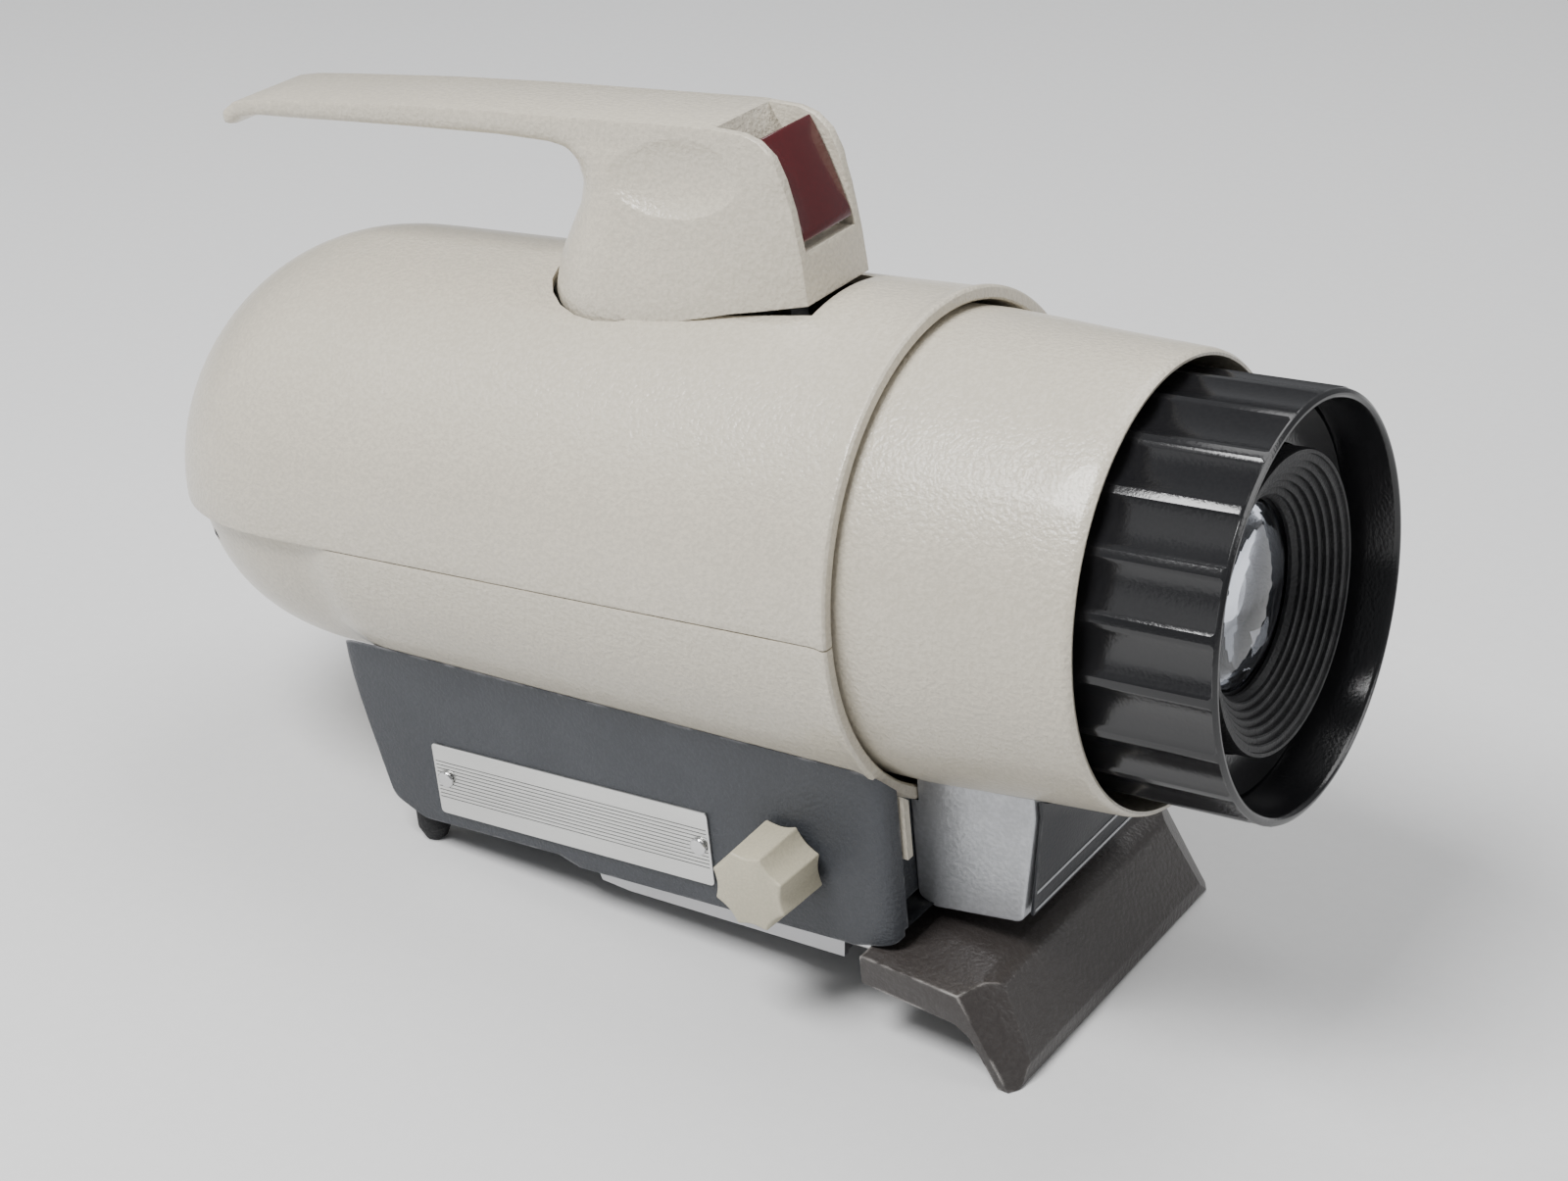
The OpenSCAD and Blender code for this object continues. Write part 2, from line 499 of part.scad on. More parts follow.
module fan_rotor() color([0.12, 0.12, 0.13]) translate([-114, 0, motor_h]) rotate([0, 90, 0]) {
  translate([0, 0, -10]) cylinder(r = 1.5, h = 20, $fn = 24);
  cylinder(r = 6, h = 9, $fn = 32);
  for (i = [0:blades - 1]) rotate([0, 0, i * 360 / blades]) translate([4, 0, 4.5])
    rotate([32, 0, 0]) translate([0, -0.6, -4]) cube([18, 1.2, 8]);
}
// ---- elevation ----
module fluted(r, len, n, depth) difference() {
  cylinder(r = r, h = len, $fn = medium);
  half = r * sin(180 / n);
  cut_r = (half * half + depth * depth) / (2 * depth);
  for (i = [0:n - 1]) rotate([0, 0, (i + 0.5) * 360 / n]) translate([r - depth + cut_r, 0, -1])
    cylinder(r = cut_r, h = len + 2, $fn = 48);
}
// knobs point outwards from the side walls
module knob_shape(bore) difference() {
  fluted(knob_r, knob_out - knob_back, knob_flutes, 1.2);
  translate([0, 0, -1]) cylinder(r = bore, h = 10, $fn = 32);
}
module elevation_knob() color([0.84, 0.82, 0.74]) difference() {
  translate([knob_x, -knob_back, knob_h]) rotate([90, 22.5, 0]) knob_shape(3);
  translate([knob_x, -knob_back - 3.4, knob_h]) rotate([0, 140, 0]) cylinder(r = 1.05, h = 20, $fn = 24);
}
module knob_set_screw() color([0.75, 0.75, 0.76]) translate([knob_x, -knob_back - 3.4, knob_h])
  rotate([0, 140, 0]) translate([0, 0, 3.1]) difference() {
    cylinder(r = 1, h = 5.4, $fn = 24);
    translate([-2, -0.2, 4.8]) cube([4, 0.4, 2]);
  }
module elevation_shaft() color([0.65, 0.65, 0.67]) rod_y(knob_x, knob_h, -knob_back - 8.6, -27, 2.98);
// snail cam: its radius grows at the rate that the arm falls
cam_r0 = 7;
cam_gain = (knob_x - arm_x) * sin(arm_drop);
module elevation_cam() color([0.7, 0.62, 0.4]) difference() {
  across(-34, -29) translate([knob_x, knob_h]) polygon([for (i = [0:50]) let (a = i * 7.2,
    r = cam_r0 + (a > knob_travel ? cam_gain * max(0, 1 - (a - knob_travel) / 26)
      : cam_gain * a / knob_travel))
    r * [cos(-90 + a), sin(-90 + a)]]);
  rod_y(knob_x, knob_h, -40, -20, 2.98);
}
arm_outline = [[-34, 1.5], [-31.5, -6.6], [-24, -7.6], [34, -9], [34.6, -4], [33, 1.2]];
module elevation_arm() color([0.62, 0.62, 0.64]) difference() {
  union() {
    mirrored_y() across(arm_hw - 1.6, arm_hw) polygon(arm_outline);
    block(-32, 33, -arm_hw + 1, arm_hw - 1, -0.6, 1);
    mirrored_y() rod_y(arm_x, arm_h, arm_hw - 1.6, arm_hw, 3.2);
    mirrored_y() block(arm_x - 3.2, arm_x + 3.2, arm_hw - 1.6, arm_hw, 0, arm_h);
    // pad under the cam
    block(knob_x - 9, knob_x + 5, -36, -27, 0.5, knob_h - cam_r0 - 0.35);
    // front wall that holds the rods
    block(31, 33, -arm_hw + 1, arm_hw - 1, -8, 0);
    mirrored_y() block(26, 34.2, arm_hw - 3.4, arm_hw, -8, -2);
  }
  mirrored_y() rod_y(arm_x, arm_h, 30, 45, 1.52);
  mirrored_y() foot_rod(rod_r + 0.02);
}
module arm_pivot_pin() color([0.5, 0.5, 0.52]) rod_y(arm_x, arm_h, -41.4, 41.4, 1.5, 32);
module foot_rod(r) translate([28.5, 36.2, -5.2]) rotate([0, 90, 0])
  cylinder(r = r, h = 20, $fn = 24);
module foot_rods() color([0.75, 0.75, 0.76]) mirrored_y() foot_rod(rod_r);
// height of the table top under a point at x, in the body frame
function table_z(x) = -(lift + x * sin(nose_up)) / cos(nose_up);
foot_outline = [[43.6, -1.4], [69.5, -4.2], [72.6, -6], [79.9, -22.3], [79.7, table_z(79.7)],
  [75.6, table_z(75.6)], [70, -14.6], [67, -12.2], [43.6, -8.4]];
foot_hw = 46;
module front_foot() color([0.27, 0.27, 0.28]) difference() {
  across(-foot_hw, foot_hw) polygon(foot_outline);
  mirrored_y() foot_rod(rod_r + 0.02);
  // the shoulders fall away towards the front corners
  mirrored_y() translate([70, 36, -4.2]) rotate([-14, 6, 0]) translate([-26, 0, 0]) cube([60, 20, 8]);
}
// ---- switch and inlet on the hidden side and rear ----
module switch_knob() color([0.84, 0.82, 0.74])
  translate([knob_x, knob_back, knob_h]) rotate([-90, 22.5, 0]) knob_shape(2.5);
module switch_shaft() color([0.65, 0.65, 0.67]) rod_y(knob_x, knob_h, 27, knob_back + 8.6, 2.48);
module switch_body() color([0.2, 0.2, 0.22]) difference() {
  union() {
    block(knob_x - 9, knob_x + 9, 27, 39.3, knob_h - 8, knob_h + 8);
    rod_y(knob_x, knob_h, 39.3, 42, 3.5);
  }
  rod_y(knob_x, knob_h, 26, 45, 2.53);
}
inlet_y = [17, 38];
inlet_z = [10.4, 25.6];
inlet_pin_y = [22.5, 32.5];
module inlet_hole() block(-110, -86, inlet_y[0], inlet_y[1], inlet_z[0], inlet_z[1]);
module inlet_pin(x, len) for (y = inlet_pin_y) translate([x, y, (inlet_z[0] + inlet_z[1]) / 2])
  rotate([0, 90, 0]) cylinder(r = 1.5, h = len, $fn = 24);
module mains_inlet() color([0.1, 0.1, 0.1]) difference() {
  block(-93, -78, inlet_y[0], inlet_y[1], inlet_z[0], inlet_z[1]);
  block(-100, -80.5, inlet_y[0] + 2.4, inlet_y[1] - 2.4, inlet_z[0] + 2.4, inlet_z[1] - 2.4);
  inlet_pin(-90, 14);
}
module inlet_pins() color([0.75, 0.75, 0.7]) inlet_pin(-88.5, 12.5);

stand() lower_shell();
stand() upper_shell();
stand() hinge_pins();
stand() base_housing();
stand() base_plate();
stand() base_plate_screws();
stand() rear_feet();
stand() rear_foot_screws();
stand() nameplate();
stand() nameplate_rivets();
stand() front_panel();
stand() pillar();
stand() pillar_plate();
stand() slot_strip();
stand() optical_bed();
stand() bed_screws();
stand() lens_mount();
stand() lens_tube();
stand() tube_liner();
stand() focus_ring();
stand() lens_barrel();
stand() name_ring();
stand() ribbed_baffle();
stand() front_element();
stand() middle_element();
stand() rear_element();
stand() retaining_rings();
stand() handle();
stand() handle_screws();
stand() latch_lever();
stand() latch_hook();
stand() latch_pivot_pin();
stand() latch_spring();
stand() latch_keeper();
stand() slide_gate();
stand() slide_carrier();
stand() gate_spring();
stand() condenser_housing();
stand() condenser_lenses();
stand() heat_glass();
stand() lamp();
stand() lamp_cap();
stand() lamp_socket();
stand() reflector();
stand() fan_motor();
stand() motor_bracket();
stand() fan_rotor();
stand() elevation_knob();
stand() knob_set_screw();
stand() elevation_shaft();
stand() elevation_cam();
stand() elevation_arm();
stand() arm_pivot_pin();
stand() foot_rods();
stand() front_foot();
stand() switch_knob();
stand() switch_shaft();
stand() switch_body();
stand() mains_inlet();
stand() inlet_pins();
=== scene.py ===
import json
import math

import bmesh
import bpy
from bpy.props import FloatProperty, FloatVectorProperty, IntProperty, PointerProperty
from mathutils import Matrix, Vector


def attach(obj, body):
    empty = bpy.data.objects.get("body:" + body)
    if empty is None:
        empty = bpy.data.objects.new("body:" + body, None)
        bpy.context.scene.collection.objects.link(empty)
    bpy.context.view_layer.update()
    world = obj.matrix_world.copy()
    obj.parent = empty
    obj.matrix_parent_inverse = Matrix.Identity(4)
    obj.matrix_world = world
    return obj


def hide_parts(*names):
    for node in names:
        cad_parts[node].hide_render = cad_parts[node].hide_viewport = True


bl_info = {
    "name": "Slide projector",
    "version": (1, 0, 0),
    "blender": (4, 5, 0),
    "location": "View3D > Sidebar > Projector",
    "description": "Shells, handle, base, lens and finishes of a barrel-shaped slide projector",
    "category": "Object",
}

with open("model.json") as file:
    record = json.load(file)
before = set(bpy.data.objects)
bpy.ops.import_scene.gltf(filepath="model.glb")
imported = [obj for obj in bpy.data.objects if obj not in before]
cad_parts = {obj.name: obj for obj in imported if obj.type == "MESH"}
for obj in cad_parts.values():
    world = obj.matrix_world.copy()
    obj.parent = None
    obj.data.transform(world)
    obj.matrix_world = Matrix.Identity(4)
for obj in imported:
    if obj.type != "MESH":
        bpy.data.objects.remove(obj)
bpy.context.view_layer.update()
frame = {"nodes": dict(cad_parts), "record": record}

MM = 0.001
AXIS_H = 75.5            # lens axis above the underside of the base
NOSE_UP = math.radians(6.4)
LIFT = 16.8
SHIFT = 22.5
STAND = (Matrix.Translation((SHIFT * MM, 0, LIFT * MM))
         @ Matrix.Rotation(-NOSE_UP, 4, "Y"))
DOME_X = -100            # the rear dome starts here
DOME_LEN = 59.4
DOME_DROP = 7.6          # how far the dome's tip hangs below the lens axis
DOME_R = 52.2            # radius where the dome meets the barrel
DOME_POWER = 2.45        # how square-shouldered the dome is
FRONT_GROWTH = 1.95      # how much the barrel widens towards the rim
HINGE_X, HINGE_Z = -134.5, 63
KNOB_X, KNOB_Z = 25.3, 16.2
RIVET_XS, RIVET_Z = (-70.2, 1.6), 13.2
RIM_X = 48.7
SEAM_H = 74.6
SEAM_SLOPE = math.tan(math.radians(1.3))


# ---- modelling helpers, in millimetres in the projector's own frame ----

def object_mode():
    if bpy.context.object and bpy.context.object.mode != "OBJECT":
        bpy.ops.object.mode_set(mode="OBJECT")


def alone(o):
    """Selects one object and makes it active."""
    object_mode()
    bpy.ops.object.select_all(action="DESELECT")
    o.select_set(True)
    bpy.context.view_layer.objects.active = o


def start(name, point):
    """A new mesh with one vertex, left in edit mode."""
    object_mode()
    bpy.ops.object.select_all(action="DESELECT")
    bpy.ops.mesh.primitive_plane_add(size=MM, location=(0, 0, 0))
    o = bpy.context.object
    o.name = name
    o.data.name = name
    bpy.ops.object.mode_set(mode="EDIT")
    bpy.ops.mesh.select_all(action="SELECT")
    bpy.ops.mesh.merge(type="CENTER")
    bpy.ops.transform.translate(value=Vector(point) * MM)
    return o


def trace(points):
    """Draws edges from the selected vertex through the points."""
    for a, b in zip(points, points[1:]):
        step = (Vector(b) - Vector(a)) * MM
        bpy.ops.mesh.extrude_region_move(TRANSFORM_OT_translate={"value": step})


def close_loop(o, first, last):
    """Joins two vertices of the open outline with an edge."""
    mesh = bmesh.from_edit_mesh(o.data)
    mesh.verts.ensure_lookup_table()
    bpy.ops.mesh.select_all(action="DESELECT")
    mesh.verts[first].select = True
    mesh.verts[last].select = True
    bmesh.update_edit_mesh(o.data)
    bpy.ops.mesh.edge_face_add()


def clean(o):
    """Merges doubled vertices and turns the normals out."""
    alone(o)
    bpy.ops.object.mode_set(mode="EDIT")
    bpy.ops.mesh.select_all(action="SELECT")
    bpy.ops.mesh.remove_doubles(threshold=0.00002)
    bpy.ops.mesh.normals_make_consistent(inside=False)
    bpy.ops.object.mode_set(mode="OBJECT")
    return o


def rounded(points, radius, steps=4):
    """A closed outline with its corners rounded. A point may carry its own radius as a third value."""
    out = []
    count = len(points)
    for i, p in enumerate(points):
        here = Vector(p[:2])
        before = Vector(points[i - 1][:2]) - here
        after = Vector(points[(i + 1) % count][:2]) - here
        r = p[2] if len(p) > 2 else radius
        turn = before.angle(after)
        if r <= 0 or turn > math.radians(176):
            out.append((here.x, here.y))
            continue
        reach = min(r / math.tan(turn / 2), before.length * 0.48, after.length * 0.48)
        a = here + before.normalized() * reach
        b = here + after.normalized() * reach
        for k in range(steps + 1):
            t = k / steps
            q = a.lerp(here, t).lerp(here.lerp(b, t), t)
            out.append((q.x, q.y))
    return out


def lathe(name, outline, segments=128, closed=True):
    """Turns an outline of (x, radius) points round the lens axis."""
    points = [(x, 0, AXIS_H + r) for x, r in outline]
    o = start(name, points[0])
    trace(points)
    if closed:
        close_loop(o, 0, len(points) - 1)
    bpy.ops.mesh.select_all(action="SELECT")
    bpy.ops.mesh.spin(steps=segments, angle=math.tau, center=(0, 0, AXIS_H * MM), axis=(1, 0, 0))
    return clean(o)


def prism(name, outline, low, high, along="Y"):
    """A solid of an (x, z) outline drawn from y = low to y = high, or of an (x, y) outline along Z."""
    if along == "Y":
        points = [(x, low, z) for x, z in outline]
        step = (0, (high - low) * MM, 0)
    else:
        points = [(x, y, low) for x, y in outline]
        step = (0, 0, (high - low) * MM)
    o = start(name, points[0])
    trace(points)
    bpy.ops.mesh.select_all(action="SELECT")
    bpy.ops.mesh.edge_face_add()
    bpy.ops.mesh.extrude_region_move(TRANSFORM_OT_translate={"value": step})
    return clean(o)


def peg(name, x, z, y0, y1, radius, segments=48):
    """A round bar across the projector."""
    ring = [(x + radius * math.cos(math.tau * i / segments), z + radius * math.sin(math.tau * i / segments))
            for i in range(segments)]
    return prism(name, ring, y0, y1)


def block(name, x0, x1, y0, y1, z0, z1):
    return prism(name, [(x0, z0), (x1, z0), (x1, z1), (x0, z1)], y0, y1)


def loft(name, rings):
    """A closed solid through rings of equal point counts."""
    o = None
    for ring in rings:
        if o is None:
            o = start(name, ring[0])
        else:
            bpy.ops.mesh.select_all(action="DESELECT")
            bpy.ops.mesh.primitive_plane_add(size=MM, location=(0, 0, 0))
            bpy.ops.mesh.merge(type="CENTER")
            bpy.ops.transform.translate(value=Vector(ring[0]) * MM)
        trace(ring)
        mesh = bmesh.from_edit_mesh(o.data)
        mesh.verts.ensure_lookup_table()
        total = len(mesh.verts)
        close_loop(o, total - len(ring), total - 1)
    bpy.ops.mesh.select_all(action="SELECT")
    bpy.ops.mesh.bridge_edge_loops()
    for index in (0, len(rings) - 1):
        cap(o, rings[index])
    return clean(o)


def cap(o, ring):
    """Fills the open end whose vertices lie on the ring."""
    spots = [Vector(p) * MM for p in ring]
    mesh = bmesh.from_edit_mesh(o.data)
    bpy.ops.mesh.select_all(action="DESELECT")
    for v in mesh.verts:
        v.select = any((v.co - s).length < 1e-6 for s in spots)
    bmesh.update_edit_mesh(o.data)
    bpy.ops.mesh.edge_face_add()


def modify(o, kind, **values):
    """Adds a modifier, sets it and applies it."""
    alone(o)
    bpy.ops.object.modifier_add(type=kind)
    mod = o.modifiers[-1]
    for key, value in values.items():
        setattr(mod, key, value)
    bpy.ops.object.modifier_apply(modifier=mod.name)
    return o


def combine(o, tool, operation="DIFFERENCE"):
    """Cuts, joins or crosses the object with a tool, which is then deleted."""
    modify(o, "BOOLEAN", object=tool, operation=operation, solver="EXACT")
    bpy.data.objects.remove(tool)
    return o


def soften(o, width, segments=2, angle=30):
    return modify(o, "BEVEL", width=width * MM, segments=segments, limit_method="ANGLE",
                  angle_limit=math.radians(angle), harden_normals=False)


def join(parts, name):
    alone(parts[0])
    for p in parts:
        p.select_set(True)
    bpy.ops.object.join()
    parts[0].name = name
    return parts[0]


def mirrored(o):
    """A copy on the other side of the middle plane, with its own mesh."""
    alone(o)
    bpy.ops.object.duplicate()
    twin = bpy.context.object
    bpy.ops.object.mode_set(mode="EDIT")
    bpy.ops.mesh.select_all(action="SELECT")
    bpy.ops.transform.mirror(constraint_axis=(False, True, False), center_override=(0, 0, 0))
    bpy.ops.mesh.flip_normals()
    bpy.ops.object.mode_set(mode="OBJECT")
    return twin


def finish_piece(o, body, material, nodes=(), angle=32):
    """Sets a piece on the table, smooths it and ties it to its CAD body."""
    alone(o)
    o.matrix_world = STAND
    bpy.ops.object.transform_apply(location=True, rotation=True, scale=True)
    bpy.ops.object.shade_smooth_by_angle(angle=math.radians(angle))
    o.data.materials.clear()
    o.data.materials.append(material)
    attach(o, body)
    if nodes:
        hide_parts(*nodes)
    return o


# ---- node groups ----

def new_group(name, inputs, outputs):
    group = bpy.data.node_groups.new(name, "ShaderNodeTree")
    for label, kind, value in inputs:
        socket = group.interface.new_socket(name=label, in_out="INPUT", socket_type=kind)
        socket.default_value = value
    for label, kind in outputs:
        group.interface.new_socket(name=label, in_out="OUTPUT", socket_type=kind)
    return group, group.nodes.new("NodeGroupInput"), group.nodes.new("NodeGroupOutput")


def add(tree, kind, place=(0, 0), **values):
    """Adds a node. Values named after sockets are set on them, others on the node."""
    node = tree.nodes.new(kind)
    node.location = place
    for key, value in values.items():
        label = key.replace("_", " ")
        if hasattr(node, key):
            setattr(node, key, value)
        else:
            node.inputs[label].default_value = value
    return node


def coat_group():
    """Paint or moulded plastic: mottled colour, fine grain with painted shade in its pits, and worn edges."""
    name = "Mottled coat"
    if name in bpy.data.node_groups:
        return bpy.data.node_groups[name]
    group, source, sink = new_group(
        name,
        [("Color", "NodeSocketColor", (0.8, 0.8, 0.8, 1)),
         ("Mottle Color", "NodeSocketColor", (0.7, 0.7, 0.7, 1)),
         ("Worn Color", "NodeSocketColor", (0.9, 0.9, 0.9, 1)), ("Mottle Scale", "NodeSocketFloat", 20.0),
         ("Grain Scale", "NodeSocketFloat", 600.0), ("Grain Depth", "NodeSocketFloat", 0.1),
         ("Roughness", "NodeSocketFloat", 0.4), ("Roughness Spread", "NodeSocketFloat", 0.1),
         ("Wear", "NodeSocketFloat", 0.3), ("Edge Width", "NodeSocketFloat", 0.0008)],
        [("Color", "NodeSocketColor"), ("Roughness", "NodeSocketFloat"), ("Normal", "NodeSocketVector")])
    link = group.links.new
    coord = add(group, "ShaderNodeTexCoord")
    mottle = add(group, "ShaderNodeTexNoise", Detail=4.0)
    link(coord.outputs["Object"], mottle.inputs["Vector"])
    link(source.outputs["Mottle Scale"], mottle.inputs["Scale"])
    grain = add(group, "ShaderNodeTexNoise", Detail=2.0)
    link(coord.outputs["Object"], grain.inputs["Vector"])
    link(source.outputs["Grain Scale"], grain.inputs["Scale"])
    # painted shade: the low points of the grain are pulled towards the darker mottle colour, standing in for
    # shade in the dimples
    pit_shade = add(group, "ShaderNodeMapRange")
    pit_shade.inputs["From Min"].default_value = 0.62
    pit_shade.inputs["From Max"].default_value = 0.4
    link(grain.outputs["Fac"], pit_shade.inputs["Value"])
    both = add(group, "ShaderNodeMath", operation="MULTIPLY_ADD")
    link(pit_shade.outputs["Result"], both.inputs[0])
    both.inputs[1].default_value = 0.5
    link(mottle.outputs["Fac"], both.inputs[2])
    blend = add(group, "ShaderNodeMix", data_type="RGBA")
    link(both.outputs["Value"], blend.inputs["Factor"])
    link(source.outputs["Color"], blend.inputs[6])
    link(source.outputs["Mottle Color"], blend.inputs[7])
    bump = add(group, "ShaderNodeBump", Distance=0.0008)
    link(source.outputs["Grain Depth"], bump.inputs["Strength"])
    link(grain.outputs["Fac"], bump.inputs["Height"])
    # an edge shows where the rounded normal leaves the true one
    edge = add(group, "ShaderNodeBevel", samples=4)
    link(source.outputs["Edge Width"], edge.inputs["Radius"])
    geometry = add(group, "ShaderNodeNewGeometry")
    dot = add(group, "ShaderNodeVectorMath", operation="DOT_PRODUCT")
    link(edge.outputs["Normal"], dot.inputs[0])
    link(geometry.outputs["Normal"], dot.inputs[1])
    sharp = add(group, "ShaderNodeMapRange")
    sharp.inputs["From Min"].default_value = 0.985
    sharp.inputs["From Max"].default_value = 0.9
    link(dot.outputs["Value"], sharp.inputs["Value"])
    patch = add(group, "ShaderNodeTexNoise", Scale=160.0, Detail=3.0)
    link(coord.outputs["Object"], patch.inputs["Vector"])
    spots = add(group, "ShaderNodeMapRange")
    spots.inputs["From Min"].default_value = 0.45
    spots.inputs["From Max"].default_value = 0.62
    link(patch.outputs["Fac"], spots.inputs["Value"])
    worn = add(group, "ShaderNodeMath", operation="MULTIPLY")
    link(sharp.outputs["Result"], worn.inputs[0])
    link(spots.outputs["Result"], worn.inputs[1])
    amount = add(group, "ShaderNodeMath", operation="MULTIPLY")
    link(worn.outputs["Value"], amount.inputs[0])
    link(source.outputs["Wear"], amount.inputs[1])
    top = add(group, "ShaderNodeMix", data_type="RGBA")
    link(amount.outputs["Value"], top.inputs["Factor"])
    link(blend.outputs[2], top.inputs[6])
    link(source.outputs["Worn Color"], top.inputs[7])
    spread = add(group, "ShaderNodeMath", operation="MULTIPLY_ADD")
    link(mottle.outputs["Fac"], spread.inputs[0])
    link(source.outputs["Roughness Spread"], spread.inputs[1])
    link(source.outputs["Roughness"], spread.inputs[2])
    link(top.outputs[2], sink.inputs["Color"])
    link(spread.outputs["Value"], sink.inputs["Roughness"])
    link(bump.outputs["Normal"], sink.inputs["Normal"])
    return group


def brushed_group():
    """Metal with fine scratches along X and slow changes of tone."""
    name = "Brushed metal"
    if name in bpy.data.node_groups:
        return bpy.data.node_groups[name]
    group, source, sink = new_group(
        name,
        [("Color", "NodeSocketColor", (0.7, 0.7, 0.7, 1)),
         ("Dull Color", "NodeSocketColor", (0.5, 0.5, 0.5, 1)),
         ("Scratch Scale", "NodeSocketFloat", 1500.0), ("Scratch Depth", "NodeSocketFloat", 0.1),
         ("Roughness", "NodeSocketFloat", 0.3)],
        [("Color", "NodeSocketColor"), ("Roughness", "NodeSocketFloat"), ("Normal", "NodeSocketVector")])
    link = group.links.new
    coord = add(group, "ShaderNodeTexCoord")
    stretch = add(group, "ShaderNodeMapping")
    stretch.inputs["Scale"].default_value = (0.03, 1, 1)
    link(coord.outputs["Object"], stretch.inputs["Vector"])
    scratch = add(group, "ShaderNodeTexNoise", Detail=3.0)
    link(stretch.outputs["Vector"], scratch.inputs["Vector"])
    link(source.outputs["Scratch Scale"], scratch.inputs["Scale"])
    tone = add(group, "ShaderNodeTexNoise", Scale=35.0, Detail=3.0)
    link(coord.outputs["Object"], tone.inputs["Vector"])
    blend = add(group, "ShaderNodeMix", data_type="RGBA")
    link(tone.outputs["Fac"], blend.inputs["Factor"])
    link(source.outputs["Color"], blend.inputs[6])
    link(source.outputs["Dull Color"], blend.inputs[7])
    rough = add(group, "ShaderNodeMath", operation="MULTIPLY_ADD")
    link(scratch.outputs["Fac"], rough.inputs[0])
    rough.inputs[1].default_value = 0.16
    link(source.outputs["Roughness"], rough.inputs[2])
    bump = add(group, "ShaderNodeBump", Distance=0.0002)
    link(source.outputs["Scratch Depth"], bump.inputs["Strength"])
    link(scratch.outputs["Fac"], bump.inputs["Height"])
    link(blend.outputs[2], sink.inputs["Color"])
    link(rough.outputs["Value"], sink.inputs["Roughness"])
    link(bump.outputs["Normal"], sink.inputs["Normal"])
    return group


def shader(name, group_tree, group_values, **principled):
    """A material of one Principled shader fed by a node group."""
    old = bpy.data.materials.get(name)
    if old:
        return old
    material = bpy.data.materials.new(name)
    material.use_nodes = True
    tree = material.node_tree
    main = tree.nodes["Principled BSDF"]
    group = tree.nodes.new("ShaderNodeGroup")
    group.node_tree = group_tree
    group.location = (-300, 0)
    for key, value in group_values.items():
        group.inputs[key].default_value = value
    tree.links.new(group.outputs["Color"], main.inputs["Base Color"])
    tree.links.new(group.outputs["Roughness"], main.inputs["Roughness"])
    tree.links.new(group.outputs["Normal"], main.inputs["Normal"])
    for key, value in principled.items():
        main.inputs[key.replace("_", " ")].default_value = value
    return material


def tint(color, factor):
    return (color[0] * factor, color[1] * factor, color[2] * factor, 1)


def cream_enamel():
    c = look().enamel_color
    return shader("Cream enamel", coat_group(), {
        "Color": tint(c, 1.04), "Mottle Color": tint(c, 0.84), "Worn Color": (0.3, 0.28, 0.24, 1),
        "Mottle Scale": 9.0, "Grain Scale": 1000.0, "Grain Depth": look().peel, "Roughness": 0.24,
        "Roughness Spread": 0.12, "Wear": 0.25, "Edge Width": 0.0006},
        Coat_Weight=0.35, Coat_Roughness=0.12, Specular_IOR_Level=0.5)


def base_enamel():
    c = look().base_color
    return shader("Grey textured enamel", coat_group(), {
        "Color": tint(c, 1.0), "Mottle Color": tint(c, 0.8), "Worn Color": (0.33, 0.33, 0.34, 1),
        "Mottle Scale": 60.0, "Grain Scale": 1300.0, "Grain Depth": 0.3, "Roughness": 0.42,
        "Roughness Spread": 0.15, "Wear": 0.5, "Edge Width": 0.0008}, Specular_IOR_Level=0.45)


def silver_enamel():
    c = look().pillar_color
    return shader("Hammered silver enamel", coat_group(), {
        "Color": tint(c, 1.0), "Mottle Color": tint(c, 0.8), "Worn Color": (0.4, 0.4, 0.42, 1),
        "Mottle Scale": 200.0, "Grain Scale": 1000.0, "Grain Depth": 0.16, "Roughness": 0.3,
        "Roughness Spread": 0.15, "Wear": 0.3, "Edge Width": 0.0006}, Metallic=0.55)


def foot_enamel():
    return shader("Dark foot enamel", coat_group(), {
        "Color": (0.045, 0.04, 0.038, 1), "Mottle Color": (0.033, 0.028, 0.026, 1),
        "Worn Color": (0.42, 0.4, 0.38, 1), "Mottle Scale": 45.0, "Grain Scale": 900.0,
        "Grain Depth": 0.3, "Roughness": 0.3, "Roughness Spread": 0.15, "Wear": 1.0, "Edge Width": 0.001})


def knob_plastic():
    c = look().knob_color
    return shader("Moulded knob plastic", coat_group(), {
        "Color": tint(c, 1.0), "Mottle Color": tint(c, 0.84), "Worn Color": tint(c, 0.7),
        "Mottle Scale": 90.0, "Grain Scale": 1500.0, "Grain Depth": 0.15, "Roughness": 0.42,
        "Roughness Spread": 0.15, "Wear": 0.5, "Edge Width": 0.0007})


def red_plastic():
    c = look().lever_color
    return shader("Red gloss plastic", coat_group(), {
        "Color": tint(c, 1.0), "Mottle Color": tint(c, 0.8), "Worn Color": tint(c, 1.6),
        "Mottle Scale": 60.0, "Grain Scale": 900.0, "Grain Depth": 0.06, "Roughness": 0.16,
        "Roughness Spread": 0.12, "Wear": 0.4, "Edge Width": 0.0006}, Coat_Weight=0.4)


def black_plastic(name, roughness, grain):
    return shader(name, coat_group(), {
        "Color": (0.006, 0.006, 0.007, 1), "Mottle Color": (0.01, 0.01, 0.011, 1),
        "Worn Color": (0.12, 0.12, 0.12, 1), "Mottle Scale": 50.0, "Grain Scale": 1400.0,
        "Grain Depth": grain, "Roughness": roughness, "Roughness Spread": 0.1, "Wear": 0.5,
        "Edge Width": 0.0004})


def black_gloss():
    return black_plastic("Gloss black plastic", 0.13, 0.05)


def black_matte():
    return black_plastic("Matte black plastic", 0.5, 0.3)


def rubber():
    return black_plastic("Foot rubber", 0.72, 0.5)


